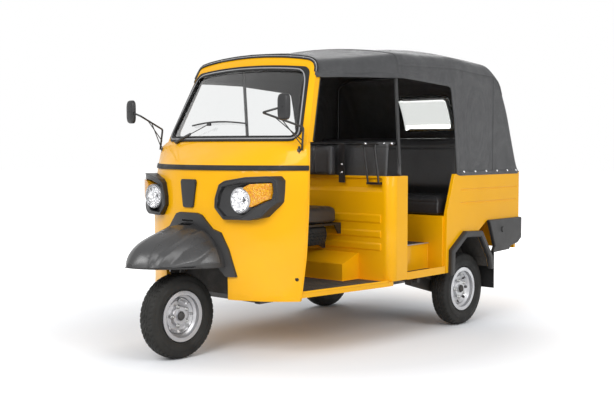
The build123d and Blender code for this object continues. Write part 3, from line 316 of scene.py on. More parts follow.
# ---- mesh helpers -------------------------------------------------------------------------
MERGE = 1e-6                            # points of a turned piece nearer than this become one
WELD = 1e-5                             # and of a CAD node, before its edges are rounded
TUBE_UP = (0.13, 0.31, 0.94)            # a direction that no tube runs along
THREAD_PITCH, THREAD_LENGTH = 0.009, 0.006


def mesh_piece(name, points, faces, smooth=True):
    mesh = bpy.data.meshes.new(name)
    mesh.from_pydata([tuple(p) for p in points], [], faces)
    mesh.validate()
    mesh.update()
    if smooth:
        mesh.shade_smooth()
    piece = bpy.data.objects.new(name, mesh)
    bpy.context.scene.collection.objects.link(piece)
    return piece


def grid_piece(name, rows, close_u=False, close_v=False):
    """A surface through a grid of points, rows of equal length."""
    high, wide = len(rows), len(rows[0])
    faces = []
    for v in range(high if close_v else high - 1):
        for u in range(wide if close_u else wide - 1):
            w, n = (u + 1) % wide, (v + 1) % high
            faces.append((v * wide + u, v * wide + w, n * wide + w, n * wide + u))
    return mesh_piece(name, [p for row in rows for p in row], faces)


def modify(piece, kind, **settings):
    modifier = piece.modifiers.new(kind.lower(), kind)
    for key, value in settings.items():
        setattr(modifier, key, value)
    return modifier


def settle(piece):
    """Applies the piece's modifiers to its mesh."""
    shown = piece.evaluated_get(bpy.context.evaluated_depsgraph_get())
    mesh = bpy.data.meshes.new_from_object(shown)
    piece.modifiers.clear()
    piece.data = mesh
    return piece


def dress(piece, look, body="root", replaces=()):
    """Gives a piece its material and its body, and hides the nodes it stands for."""
    piece.data.materials.clear()
    piece.data.materials.append(looks[look])
    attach(piece, body)
    if replaces:
        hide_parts(*replaces)
    return piece


def frames_along(path, closed):
    """A path's points as vectors, and its tangent at each."""
    points = [Vector(p) for p in path]
    count = len(points)
    tangents = []
    for i in range(count):
        after = points[(i + 1) % count] if closed or i + 1 < count else points[i]
        before = points[i - 1] if closed or i else points[i]
        tangents.append((after - before).normalized())
    return points, tangents


def sweep(name, path, profile, up=(0, 0, 1), closed=False):
    """A closed profile of (side, up) offsets along a path. up is one direction, or one for each point."""
    points, tangents = frames_along(path, closed)
    rows = []
    for i, (point, tangent) in enumerate(zip(points, tangents)):
        upward = Vector(up[i] if hasattr(up[0], "__len__") else up)
        side = tangent.cross(upward).normalized()
        upward = side.cross(tangent).normalized()
        rows.append([point + side * a + upward * b for a, b in profile])
    piece = grid_piece(name, rows, close_u=True, close_v=closed)
    if not closed:
        edited(piece, lambda made: cap_ends(made, len(profile)))
    mend_normals(piece)
    return piece


def edited(piece, change):
    """Runs a change on the piece's mesh, given to it as a bmesh."""
    made = bmesh.new()
    made.from_mesh(piece.data)
    change(made)
    made.to_mesh(piece.data)
    made.free()


def cap_ends(made, wide):
    """Closes both ends of a sweep, whose profile has wide points."""
    made.verts.ensure_lookup_table()
    made.faces.new([made.verts[k] for k in range(wide)][::-1])
    made.faces.new([made.verts[len(made.verts) - wide + k] for k in range(wide)])


def mend_normals(piece):
    edited(piece, lambda made: bmesh.ops.recalc_face_normals(made, faces=made.faces))
    piece.data.shade_smooth()


def ring(radius, count=12, high=None):
    return [(radius * math.cos(math.tau * k / count), (high or radius) * math.sin(math.tau * k / count))
            for k in range(count)]


def rounded(points, radius, steps=5, closed=False):
    """A path with its corners rounded by arcs of about that radius."""
    points = [Vector(p) for p in points]
    count, path = len(points), []
    for i, corner in enumerate(points):
        if not closed and i in (0, count - 1):
            path.append(corner)
            continue
        before, after = points[i - 1], points[(i + 1) % count]
        into, out = (corner - before), (after - corner)
        reach = min(radius, into.length * 0.48, out.length * 0.48)
        start, end = corner - into.normalized() * reach, corner + out.normalized() * reach
        for k in range(steps + 1):
            t = k / steps
            path.append(start * (1 - t) ** 2 + corner * 2 * t * (1 - t) + end * t ** 2)
    return path


def even(path, step, closed=False):
    """The same path with points about a step apart."""
    points = [Vector(p) for p in path] + ([Vector(path[0])] if closed else [])
    lengths = np.cumsum([0] + [(b - a).length for a, b in zip(points, points[1:])])
    count = max(2, int(round(lengths[-1] / step)) + (0 if closed else 1))
    marks = np.linspace(0, lengths[-1], count, endpoint=not closed)
    columns = [np.interp(marks, lengths, [p[k] for p in points]) for k in range(3)]
    return [Vector(p) for p in zip(*columns)]


def tube(name, points, radius, bend=0.02, count=12):
    return sweep(name, rounded(points, bend, 6), ring(radius, count), up=TUBE_UP)


def lathe(name, centre, axis, profile, segments=48):
    """A profile of (radius, along) turned about an axis through the centre."""
    along = Vector(axis).normalized()
    side = along.orthogonal().normalized()
    other = along.cross(side)
    rows = []
    for k in range(segments):
        turn = math.tau * k / segments
        out = side * math.cos(turn) + other * math.sin(turn)
        rows.append([Vector(centre) + out * r + along * a for r, a in profile])
    piece = grid_piece(name, rows, close_v=True)
    edited(piece, lambda made: bmesh.ops.remove_doubles(made, verts=made.verts, dist=MERGE))
    mend_normals(piece)
    return piece


def rectangle(x0, x1, y0, y1):
    return [(x0, y0), (x1, y0), (x1, y1), (x0, y1)]


def plate(name, outline, depth, bevel=0.002, segments=2):
    """A closed outline of 3-D points, carried along the vector depth, with softened edges."""
    count, depth = len(outline), Vector(depth)
    points = [Vector(p) for p in outline] + [Vector(p) + depth for p in outline]
    faces = [tuple(range(count))[::-1], tuple(range(count, 2 * count))]
    faces += [(k, (k + 1) % count, count + (k + 1) % count, count + k) for k in range(count)]
    piece = mesh_piece(name, points, faces)
    mend_normals(piece)
    if bevel:
        modify(piece, "BEVEL", width=bevel, segments=segments, limit_method="ANGLE", angle_limit=math.radians(32))
        settle(piece)
    return piece


def brick(name, low, high, bevel=0.003, segments=3):
    """A block between two corners, its edges rounded."""
    (x0, y0, z0), (x1, y1, z1) = low, high
    return plate(name, [(x, y, z0) for x, y in rectangle(x0, x1, y0, y1)], (0, 0, z1 - z0), bevel, segments)


def joined(name, pieces):
    """One piece made of several, which are removed."""
    points, faces, smooth = [], [], []
    for piece in pieces:
        start = len(points)
        points += [piece.matrix_world @ v.co for v in piece.data.vertices]
        faces += [tuple(start + k for k in polygon.vertices) for polygon in piece.data.polygons]
        smooth += [polygon.use_smooth for polygon in piece.data.polygons]
        bpy.data.objects.remove(piece)
    whole = mesh_piece(name, points, faces, False)
    whole.data.polygons.foreach_set("use_smooth", smooth)
    return whole


def mirrored(points, side):
    return [Vector((side * x, y, z)) for x, y, z in points]


def scaled(profile, radius):
    """A profile whose radii are shares of one radius."""
    return [(radius * share, along) for share, along in profile]


def strip_profile(half, top, sink, shoulder, rise, offset=0.0):
    """A strip's section: half its width at the foot and at the top, how deep it sinks, its shoulders and its rise."""
    return [(offset - half, -sink), (offset - half, shoulder), (offset - top, rise), (offset + top, rise),
            (offset + half, shoulder), (offset + half, -sink)]


def bolt(name, place, axis, radius=0.006, height=0.004, sides=6):
    """A hexagon head on a washer, or a domed screw when sides is large."""
    turned = [(0, height), (radius * 0.55, height), (radius * 0.92, height * 0.8), (radius, height * 0.45),
              (radius, 0), (radius * 1.5, 0), (radius * 1.5, -height * 0.3), (0, -height * 0.3)]
    return lathe(name, place, axis, turned, sides)


def soften(hold, width, degrees=38):
    """Rounds a CAD node's edges by modifiers; its mesh stays as it is."""
    modify(hold, "WELD", merge_threshold=WELD)
    modify(hold, "BEVEL", width=width, segments=2, limit_method="ANGLE", angle_limit=math.radians(degrees))


def surface_of(*names):
    """Some CAD nodes as one surface to cast rays at."""
    points, faces = [], []
    for name in names:
        start = len(points)
        points += [v.co.copy() for v in nodes[name].data.vertices]
        faces += [tuple(start + k for k in polygon.vertices) for polygon in nodes[name].data.polygons]
    return BVHTree.FromPolygons(points, faces)


AHEAD = -1.4                            # y of the place ahead of the nose from which rays are cast back


def hit(surface, origin, direction):
    place, normal, _, _ = surface.ray_cast(Vector(origin), Vector(direction).normalized())
    if place is None:
        raise ValueError(f"nothing at {tuple(origin)}")
    if normal.dot(Vector(direction)) > 0:
        normal = -normal
    return place, normal


def hit_front(surface, x, z):
    return hit(surface, (x, AHEAD, z), (0, 1, 0))


# ---- hood ---------------------------------------------------------------------------------
# Sections of the hood in millimetres: y, half width, height of the eave, height of the crown.
HOOD_BOWS = [(-500, 505, 1695, 1772), (100, 694, 1765, 1843), (640, 700, 1776, 1880), (1000, 700, 1752, 1890),
             (1500, 700, 1752, 1890)]
HOOD_BACK = [(1490, 1034), (1325, 1479), (1212, 1680), (1120, 1735), (985, 1845), (900, 1905)]
HOOD_HEM = [(-500, 1621), (50, 1641), (560, 1611), (582, 1605), (597, 1595), (606, 1576), (645, 1394), (684, 1031),
            (1490, 1031)]
SUPPORTS = (-432, 50, 706, 1110)        # where bows and the header hold the cloth up
HOOD_FRONT_Y, HOOD_RAKE = -431, 228 / 554
CORNER, SAG, CLOTH = 45, 8, 2.5
WINDOW_HALF, WINDOW_LOW, WINDOW_HIGH = 240, 1322, 1590


def hood_back(y):
    return float(np.interp(y, [p[0] for p in reversed(HOOD_BACK)], [p[1] for p in reversed(HOOD_BACK)]))


def hood_top(x, y, half, eave, crown):
    """Height of the cloth over x at y: the roof's arch, its corner, and the sloping back."""
    flat = half - 60
    if abs(x) <= flat:
        roof = crown - (crown - eave - 22) * (x / flat) ** 2
    else:
        roof = eave - 80 + 102 * math.sqrt(max(0, 1 - ((abs(x) - flat) / 60) ** 2))
    if y < 880:
        return roof
    over = max(0, abs(x) - half + CORNER)
    slope = (hood_back(y + 4) - hood_back(y - 4)) / 8
    drop = CORNER - math.sqrt(max(0, CORNER ** 2 - over ** 2))
    return min(roof, hood_back(y) - drop * math.sqrt(1 + slope ** 2))


def hood_stations():
    marks = list(np.linspace(HOOD_FRONT_Y, 540, 27)) + [562, 582, 590, 598, 606, 619, 632, 645, 658, 671, 684]
    marks += list(np.linspace(706, 985, 9)) + list(np.linspace(1010, 1212, 8))
    window = [np.interp(z, [1034, 1479, 1680], [1490, 1325, 1212]) for z in (WINDOW_HIGH, WINDOW_LOW)]
    marks += [1237, window[0], 1293, 1325, 1354, window[1], 1410, 1437, 1464, 1488]
    return marks


def hood_rows():
    """Points of the cloth's outside, a row for each station, from the left hem over the roof to the right one."""
    rows = []
    columns = [p[0] for p in HOOD_BOWS]
    for y in hood_stations():
        half, eave, crown = (np.interp(y, columns, [p[k] for p in HOOD_BOWS]) for k in (1, 2, 3))
        span = next(((a, b) for a, b in zip(SUPPORTS, SUPPORTS[1:]) if a <= y <= b), None)
        sag = SAG * math.sin(math.pi * (y - span[0]) / (span[1] - span[0])) ** 2 if span else 0
        low = np.interp(y, [p[0] for p in HOOD_HEM], [p[1] for p in HOOD_HEM])
        side_top = hood_top(half, y, half, eave, crown)
        left = [(half - 0.5 * sag * math.sin(math.pi * t), low + (max(side_top, low + 3) - low) * t)
                for t in np.linspace(0, 1, 10)]
        across = [half - 60 + 60 * math.sin(a) for a in np.linspace(1.35, 0, 6)]
        across += list(np.linspace(half - 60, WINDOW_HALF, 7))[1:] + [180, 120, 60]
        roof = [(x, hood_top(x, y, half, eave, crown) - sag * (1 - (x / half) ** 4)) for x in across]
        middle = [(0, hood_top(0, y, half, eave, crown) - sag)]
        section = left + roof + middle + [(-x, z) for x, z in reversed(roof)] + [(-x, z) for x, z in reversed(left)]
        row = []
        for x, z in section:
            reach = max(0.0, 1 - (y - HOOD_FRONT_Y) / 400)
            row.append(Vector((x, y + (z - 1763) * HOOD_RAKE * reach, max(z, low))) * MM)
        rows.append(row)
    return smoothed(rows)


def smoothed(rows, rounds=2):
    """Rounds the folds of a grid of points, and keeps its outline."""
    grid = np.array([[tuple(p) for p in row] for row in rows])
    for _ in range(rounds):
        inner = grid[1:-1, 1:-1]
        mean = (grid[:-2, 1:-1] + grid[2:, 1:-1] + grid[1:-1, :-2] + grid[1:-1, 2:]) / 4
        grid[1:-1, 1:-1] = inner + 0.35 * (mean - inner)
    return [[Vector(p) for p in row] for row in grid]


def grid_normals(rows):
    grid = np.array([[tuple(p) for p in row] for row in rows])
    normal = np.cross(np.gradient(grid, axis=0), np.gradient(grid, axis=1))
    return normal / np.maximum(np.linalg.norm(normal, axis=2, keepdims=True), 1e-9)


def band(name, path, normals, width, rise, look="hood_fabric", closed=False):
    """A flat strip with rounded edges that lies on a surface along a path."""
    half = width / 2
    profile = strip_profile(half, half * 0.8, 0.001, rise * 0.6, rise)
    return dress(sweep(name, path, profile, up=normals, closed=closed), look, "root")


def stitches(name, path, normals, offset, rise):
    """A row of threads along a path, beside it by offset."""
    points, faces = [], []
    path = [Vector(p) for p in path]
    lengths = np.cumsum([0] + [(b - a).length for a, b in zip(path, path[1:])])
    for mark in np.arange(THREAD_PITCH, lengths[-1], THREAD_PITCH):
        k = int(np.searchsorted(lengths, mark)) - 1
        share = (mark - lengths[k]) / max(lengths[k + 1] - lengths[k], 1e-9)
        along = (path[k + 1] - path[k]).normalized()
        up = Vector(normals[k]).normalized()
        side = along.cross(up).normalized()
        centre = path[k].lerp(path[k + 1], share) + side * offset + up * rise
        start = len(points)
        for a, b, c in ((-1, 0, -0.4), (-0.5, 1, 0.5), (0.5, 1, 0.5), (1, 0, -0.4), (0.5, -1, 0.5), (-0.5, -1, 0.5)):
            points.append(centre + along * a * THREAD_LENGTH / 2 + side * b * 0.0007 + up * c * 0.0008)
        faces += [(start, start + 1, start + 5), (start + 1, start + 2, start + 4, start + 5),
                  (start + 2, start + 3, start + 4)]
    return dress(mesh_piece(name, points, faces), "seat_thread", "root")


HEADER_EDGE = [(-0.534, 0.000, 1.752), (-0.533, 0.112, 1.750), (-0.531, 0.200, 1.746), (-0.527, 0.278, 1.741),
               (-0.521, 0.376, 1.731), (-0.515, 0.448, 1.720), (-0.514, 0.472, 1.710), (-0.511, 0.486, 1.700),
               (-0.513, 0.500, 1.680), (-0.520, 0.506, 1.660), (-0.529, 0.510, 1.640), (-0.537, 0.514, 1.620)]


def header_edge():
    """The edge round the top of the cab front, from the left side over to the right one."""
    half = [Vector((x, y, z)) for y, x, z in HEADER_EDGE]
    return half[::-1] + [Vector((-p.x, p.y, p.z)) for p in half[1:]]


def share_of(path):
    lengths = np.cumsum([0] + [(b - a).length for a, b in zip(path, path[1:])])
    return lengths / lengths[-1]


def header_hem(first):
    """Where the cloth's front edge lies on the header, a point for each of the first row's."""
    edge = header_edge()
    at, wanted = share_of(edge), share_of(first)
    hem = [Vector([float(np.interp(t, at, [p[k] for p in edge])) for k in range(3)]) for t in wanted]
    middle = Vector((0, 0, 1.45))
    return [p + Vector((p.x - middle.x, 0, p.z - middle.z)).normalized() * 0.0035 + Vector((0, 0.003, 0)) for p in hem]


def first_past(stations, mark):
    return next(v for v, y in enumerate(stations) if y > mark)


def make_hood():
    rows = hood_rows()
    stations = hood_stations()
    hem_row = header_hem(rows[0])
    rows = [hem_row, [a.lerp(b, 0.5) + Vector((0, 0, 0.003)) for a, b in zip(hem_row, rows[0])]] + rows
    stations = [-530, -480] + stations
    wide = len(rows[0])
    pane = [v for v, y in enumerate(stations) if 1262 < y < 1384]
    first, last = pane[0], pane[-1]
    edge = [u for u, p in enumerate(rows[first]) if abs(abs(p.x) - WINDOW_HALF * MM) < 0.004]
    left, right = edge[0], edge[-1]
    faces = [(v * wide + u, (v + 1) * wide + u, (v + 1) * wide + u + 1, v * wide + u + 1)
             for v in range(len(rows) - 1) for u in range(wide - 1)
             if not (first <= v < last and left <= u < right)]
    hood = mesh_piece("hood_cloth", [p for row in rows for p in row], faces)
    modify(hood, "SUBSURF", levels=1, render_levels=1, boundary_smooth="PRESERVE_CORNERS")
    modify(hood, "SOLIDIFY", thickness=CLOTH * MM, offset=-1)
    settle(hood)
    hood.data.shade_smooth()
    dress(hood, "hood_fabric", replaces=["canopy"])
    normals = grid_normals(rows)
    turn = -1 if normals[10][wide // 2][2] < 0 else 1
    normals = [[Vector(n) * turn for n in row] for row in normals]
    trims = []

    def strip(name, where, width, rise, stitched=True):
        path = [rows[v][u] for v, u in where]
        up = [normals[v][u] for v, u in where]
        trims.append(band(name, path, up, width, rise))
        if stitched:
            for k, side in (("a", 0.32), ("b", -0.32)):
                trims.append(stitches(name + "_stitch_" + k, path, up, side * width, rise))

    count = len(rows)
    for tag, u, hem in (("l", 10, 0), ("r", wide - 11, wide - 1)):
        start = first_past(stations, 40)
        end = first_past(stations, 1262)
        strip("hood_eave_seam_" + tag, [(v, u) for v in range(start, end)], 0.012, 0.002)
        strip("hood_hem_" + tag, [(v, hem) for v in range(count - 1)], 0.026, 0.003, False)
        inward = 1 if hem == 0 else -1
        path = [rows[v][hem] for v in range(count - 1)]
        up = [normals[v][hem + inward] for v in range(count - 1)]
        trims.append(stitches("hood_hem_stitch_" + tag, path, up, 0.019 * (-inward), 0.0006))
        back = first_past(stations, 1100)
        column = range(0, 11) if hem == 0 else range(wide - 1, wide - 12, -1)
        strip("hood_rear_seam_" + tag, [(back, k) for k in column], 0.014, 0.002)
    middle = first_past(stations, 40)
    strip("hood_bow_seam", [(middle, u) for u in range(1, wide - 1)], 0.016, 0.002)
    strip("hood_front_binding", [(0, u) for u in range(wide)], 0.014, 0.0035, False)
    # the rear window's border and its clear pane
    loop = [(first, u) for u in range(left, right + 1)] + [(v, right) for v in range(first + 1, last + 1)]
    loop += [(last, u) for u in range(right - 1, left - 1, -1)] + [(v, left) for v in range(last - 1, first, -1)]
    path = [rows[v][u] + normals[v][u] * 0.0005 for v, u in loop]
    up = [normals[v][u] for v, u in loop]
    trims.append(band("rear_window_border", path, up, 0.036, 0.003, closed=True))
    trims.append(stitches("rear_window_stitch", path, up, 0.012, 0.0032))
    clear = [[rows[v][u] - normals[v][u] * 0.002 for u in range(left, right + 1)] for v in range(first, last + 1)]
    pane = grid_piece("rear_window_pane", clear)
    modify(pane, "SOLIDIFY", thickness=0.0008, offset=0)
    dress(settle(pane), "clear_vinyl", "root")
    # snap studs that hold the hem to the body
    studs = []
    for _, side in SIDES:
        for y in (0.76, 0.90, 1.04, 1.18, 1.32, 1.44):
            studs.append(bolt("stud", (side * 0.7005, y, 1.042), (side, 0, 0), 0.006, 0.004, 16))
    for x in (-0.5, -0.25, 0, 0.25, 0.5):
        studs.append(bolt("stud", (x, 1.4885, 1.043), (0, 0.94, 0.34), 0.006, 0.004, 16))
    dress(joined("hood_studs", studs), "chrome", "root")
    return hem_row


# ---- cushions -----------------------------------------------------------------------------
PAD_INSET, PAD_PRESSURE, PAD_FRAMES = 0.010, 4.0, 14
CHANNEL_LEAST = 0.35                    # how squarely a face must look along a channel's facing to be drawn in


def pad(name, node_name, voxel=0.011, cap=0.010):
    """A CAD cushion, swelled a little by cloth pressure inside its own box."""
    low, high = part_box(node_name)
    source = nodes[node_name]
    mesh = source.data.copy()
    piece = bpy.data.objects.new(name, mesh)
    bpy.context.scene.collection.objects.link(piece)
    centre = (low + high) / 2
    size = high - low
    for vertex in mesh.vertices:
        for k in range(3):
            share = 1 - 2 * PAD_INSET / size[k]
            vertex.co[k] = centre[k] + (vertex.co[k] - centre[k]) * share
    modify(piece, "REMESH", mode="VOXEL", voxel_size=voxel)
    settle(piece)
    before = np.array([v.co[:] for v in piece.data.vertices])
    cloth = modify(piece, "CLOTH")
    cloth.settings.use_pressure = True
    cloth.settings.uniform_pressure_force = PAD_PRESSURE
    cloth.settings.effector_weights.gravity = 0
    cloth.settings.quality = 4
    scene = bpy.context.scene
    for number in range(1, PAD_FRAMES + 1):
        scene.frame_set(number)
    settle(piece)
    scene.frame_set(1)
    after = np.array([v.co[:] for v in piece.data.vertices])
    move = after - before
    far = np.linalg.norm(move, axis=1, keepdims=True)
    after = before + move * np.minimum(1, cap / np.maximum(far, 1e-9))
    after = np.clip(after, np.array(low) + 0.0005, np.array(high) - 0.0005)
    piece.data.vertices.foreach_set("co", after.ravel())
    modify(piece, "SMOOTH", factor=0.5, iterations=3)
    modify(piece, "SUBSURF", levels=1, render_levels=1)
    settle(piece)
    piece.data.shade_smooth()
    return piece


def channel(piece, distance, width, depth, facing):
    """Sews channels: draws in what faces a direction where distance(x, y, z) comes near 0."""
    facing = Vector(facing)
    for vertex in piece.data.vertices:
        turned = vertex.normal.dot(facing)
        if turned < CHANNEL_LEAST:
            continue
        near = abs(distance(*vertex.co)) / width
        if near < 1:
            vertex.co -= facing * depth * (1 - near ** 2) ** 2 * min(1, (turned - CHANNEL_LEAST) * 3)
    piece.data.update()


def on_cushion(piece, start, end, count, direction):
    """Points and normals where a straight line falls on a cushion."""
    surface = BVHTree.FromObject(piece, bpy.context.evaluated_depsgraph_get())
    path, up = [], []
    away = -Vector(direction)
    for k in range(count):
        origin = Vector(start).lerp(Vector(end), k / (count - 1)) + away * 0.25
        place = surface.ray_cast(origin, Vector(direction))[0]
        if place is not None:
            path.append(place)
            up.append(away)
    return path, up


def make_cushions():
    seat = pad("driver_cushion", "driver_seat")
    low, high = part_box("driver_seat")
    channel(seat, lambda x, y, z: (abs(x) - 0.20), 0.012, 0.008, (0, 0, 1))
    channel(seat, lambda x, y, z: z - (high.z - 0.034), 0.006, 0.004, (0, -1, 0))
    dress(seat, "seat_vinyl", replaces=["driver_seat"])
    for tag, side in SIDES:
        path, up = on_cushion(seat, (side * 0.20, low.y + 0.02, high.z), (side * 0.20, high.y - 0.02, high.z), 40,
                              (0, 0, -1))
        stitches("driver_cushion_stitch_" + tag, path, up, 0.004, 0.0006)
    back = pad("driver_back_pad", "driver_backrest", cap=0.008)
    blow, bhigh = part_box("driver_backrest")
    channel(back, lambda x, y, z: (abs(x) - 0.145), 0.012, 0.008, (0, -1, 0))
    dress(back, "seat_vinyl", replaces=["driver_backrest"])
    for tag, side in SIDES:
        path, up = on_cushion(back, (side * 0.145, blow.y, blow.z + 0.02), (side * 0.145, blow.y, bhigh.z - 0.02), 24,
                              (0, 1, 0))
        stitches("driver_back_stitch_" + tag, path, up, 0.004, 0.0006)
    bench = pad("bench_pad", "bench_cushion", voxel=0.014, cap=0.012)
    low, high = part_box("bench_cushion")
    pitch = (high.x - low.x) / 12
    channel(bench, lambda x, y, z: (x - low.x) % pitch - pitch / 2 if abs(x) < high.x - 0.06 else 1, 0.010, 0.006,
            (0, 0, 1))
    channel(bench, lambda x, y, z: z - (high.z - 0.042), 0.007, 0.005, (0, -1, 0))
    dress(bench, "seat_vinyl", replaces=["bench_cushion"])
    rest = pad("bench_back_pad", "bench_backrest", voxel=0.014, cap=0.012)
    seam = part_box("bench_backrest")[1].z - 0.085
    channel(rest, lambda x, y, z: z - seam, 0.010, 0.004, (0, -1, 0.1))
    dress(rest, "seat_vinyl", replaces=["bench_backrest"])
    threads = []
    for k in range(12):
        x = low.x + pitch * (k + 0.5)
        if abs(x) > high.x - 0.06:
            continue
        path, up = on_cushion(bench, (x, low.y + 0.03, high.z), (x, high.y - 0.03, high.z), 26, (0, 0, -1))
        threads.append(stitches(f"t{k}", path, up, 0.003, 0.0005))
    dress(joined("bench_stitches", threads), "seat_thread", "root")


def make_partition():
    """A vinyl sheet hung from the rail, hemmed, with soft vertical folds."""
    low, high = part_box("partition")
    rows = []
    for v in np.linspace(0, 1, 15):
        row = []
        for u in np.linspace(0, 1, 61):
            x = low.x + (high.x - low.x) * u
            wave = 0.004 * v * math.sin(u * 41) * math.sin(u * 13 + 1)
            row.append((x, high.y - 0.004 - (high.y - low.y - 0.008) * v + wave, high.z - (high.z - low.z) * v))
        rows.append(row)
    sheet = grid_piece("partition_sheet", rows)
    modify(sheet, "SOLIDIFY", thickness=0.0015, offset=0)
    dress(settle(sheet), "partition_vinyl", "root", ["partition"])
    for k, line in (("top", rows[0]), ("low", rows[-1])):
        band("partition_hem_" + k, line, (0, -1, 0), 0.024, 0.0035, look="partition_vinyl")


# ---- wheels -------------------------------------------------------------------------------
TYRE_RADIUS, TYRE_HALF, TREAD_CROWN = 0.245, 0.058, 0.009
RIM_FLANGE, BEAD_HALF = 0.146, 0.0417
TREAD_BLOCKS, TYRE_SEGMENTS = 44, 352    # round the tyre
REAR_AXLE_Y = 0.855
WHEELS = (("front", (0, -1.145, TYRE_RADIUS), LEFT, "front_wheel"),
          ("rear_l", (0.590, REAR_AXLE_Y, TYRE_RADIUS), LEFT, "rear_wheel_left"),
          ("rear_r", (-0.590, REAR_AXLE_Y, TYRE_RADIUS), RIGHT, "rear_wheel_right"))
WHEEL_NUTS, NUT_CIRCLE = 5, 0.057
# Turned profiles: rows of (radius, place along the axle).
VALVE = [(0, 0.032), (0.0035, 0.032), (0.0035, 0.018), (0.005, 0.016), (0.005, 0), (0, 0)]
HUB_CAP = [(0, 0.016), (0.012, 0.0155), (0.019, 0.012), (0.0235, 0.006), (0.0245, 0), (0.0275, 0), (0.0275, -0.003),
           (0, -0.003)]
SPARE_RIM = [(0.030, 0.010), (0.052, 0.010), (0.062, -0.002), (0.085, -0.006), (0.098, 0.004), (0.112, -0.010),
             (0.118, -0.012), (0.124, -0.030), (0.129, -0.042), (0.146, -0.042), (0.146, -0.047), (0.124, -0.047),
             (0.112, -0.026), (0.110, 0.016), (0.124, 0.036), (0.124, 0.047), (0.146, 0.047), (0.146, 0.042),
             (0.129, 0.042), (0.128, 0.030), (0.116, 0.012), (0.116, -0.004), (0.098, 0.010), (0.085, 0.000),
             (0.062, 0.004), (0.052, 0.016), (0.030, 0.016)]
GROOVES = ((0.0, 0.0045), (0.019, 0.004), (-0.019, 0.004))


def tread_depth(across, turn):
    """How deep the tread is cut: zigzag grooves round it, and slots across its shoulders."""
    phase = turn * TREAD_BLOCKS / math.tau
    zigzag = 0.0045 * (2 * abs(2 * (phase % 1) - 1) - 1)
    deep = 0.0
    for k, (middle, half) in enumerate(GROOVES):
        if abs(across - middle - zigzag * (1 if k != 2 else -1)) < half * 0.55:
            deep = 0.006
    shoulder = abs(across)
    if 0.030 < shoulder < 0.050:
        share = (phase + shoulder * 12 * (1 if across > 0 else -1)) % 1
        if share < 0.22:
            deep = 0.005
    return deep


def tyre_section():
    """The tyre's outside from bead to bead: rows of (radius, across)."""
    belly = (RIM_FLANGE + 0.42 * (TYRE_RADIUS - RIM_FLANGE), TYRE_HALF)
    shoulder = (TYRE_RADIUS - TREAD_CROWN, TYRE_HALF - 0.011)
    wall = [(RIM_FLANGE + 0.001, BEAD_HALF - 0.003), (RIM_FLANGE + 0.003, BEAD_HALF),
            (RIM_FLANGE + 0.010, BEAD_HALF + 0.007), (RIM_FLANGE + 0.014, BEAD_HALF + 0.0095),
            (RIM_FLANGE + 0.016, BEAD_HALF + 0.0085), (RIM_FLANGE + 0.022, TYRE_HALF - 0.004),
            (belly[0] - 0.008, belly[1] - 0.0008), belly, (belly[0] + 0.008, belly[1] - 0.0004),
            (belly[0] + 0.011, belly[1] - 0.0002), (belly[0] + 0.013, belly[1] - 0.002),
            (belly[0] + 0.024, belly[1] - 0.003), (belly[0] + 0.034, belly[1] - 0.0055),
            (shoulder[0] - 0.006, shoulder[1] + 0.0035)]
    tread = []
    for across in np.linspace(-shoulder[1], shoulder[1], 43):
        tread.append((TYRE_RADIUS - TREAD_CROWN * (across / shoulder[1]) ** 2, float(across)))
    return [(r, -a) for r, a in wall] + tread + [(r, a) for r, a in reversed(wall)]


def make_tyre(name, centre, axis):
    """A treaded tyre about its axle."""
    axis = Vector(axis)
    side = Vector((0, 1, 0))
    up = axis.cross(side)
    section = tyre_section()
    shoulder = TYRE_RADIUS - TREAD_CROWN - 0.001
    rows = []
    for k in range(TYRE_SEGMENTS):
        turn = math.tau * k / TYRE_SEGMENTS
        out = side * math.cos(turn) + up * math.sin(turn)
        row = []
        for r, a in section:
            cut = tread_depth(a, turn) if r > shoulder else 0
            if cut == 0 and RIM_FLANGE + 0.045 < r < shoulder - 0.003 and k % 8 in (0, 1):
                cut = 0.0012
            row.append(Vector(centre) + out * (r - cut) + axis * a)
        rows.append(row)
    piece = grid_piece(name, rows, close_v=True)
    mend_normals(piece)
    return piece


def make_wheels():
    for tag, centre, face, body in WHEELS:
        tyre = make_tyre("tread_" + tag, centre, (1, 0, 0))
        dress(tyre, "tyre_rubber", body, replaces=["tyre_" + tag])
        centre = Vector(centre)
        fittings = []
        for k in range(WHEEL_NUTS):
            turn = math.tau * (k + 0.5) / WHEEL_NUTS
            place = centre + Vector((face * 0.0245, math.cos(turn) * NUT_CIRCLE, math.sin(turn) * NUT_CIRCLE))
            fittings.append(bolt("nut", place, (face, 0, 0), 0.0095, 0.012, 6))
        valve = centre + Vector((face * 0.012, 0, 0.108))
        fittings.append(lathe("valve", valve, (face, 0, -0.35), VALVE, 12))
        dress(joined("wheel_nuts_" + tag, fittings), "zinc", body)
        cap = lathe("hub_cap_" + tag, centre + Vector((face * 0.030, 0, 0)), (face, 0, 0), HUB_CAP, 40)
        dress(cap, "inner_panel", body)
        soften(nodes["rim_" + tag], 0.0012, 40)
    low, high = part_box("spare_wheel")
    centre = (low + high) / 2
    spare = make_tyre("spare_tread", centre, (0, 0, 1))
    dress(spare, "tyre_rubber")
    disc = lathe("spare_rim", centre, (0, 0, 1), SPARE_RIM, 64)
    dress(disc, "wheel_steel")
    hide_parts("spare_wheel")


# ---- lamps --------------------------------------------------------------------------------
LAMP_X, LAMP_Z, LAMP_RADIUS, LAMP_FRONT = 0.370, 0.912, 0.072, -1.000
LAMP_FACETS = 32
REFLECTOR_RINGS = (0.962, 0.90, 0.80, 0.67, 0.53, 0.39, 0.25, 0.13)     # shares of the lamp's radius
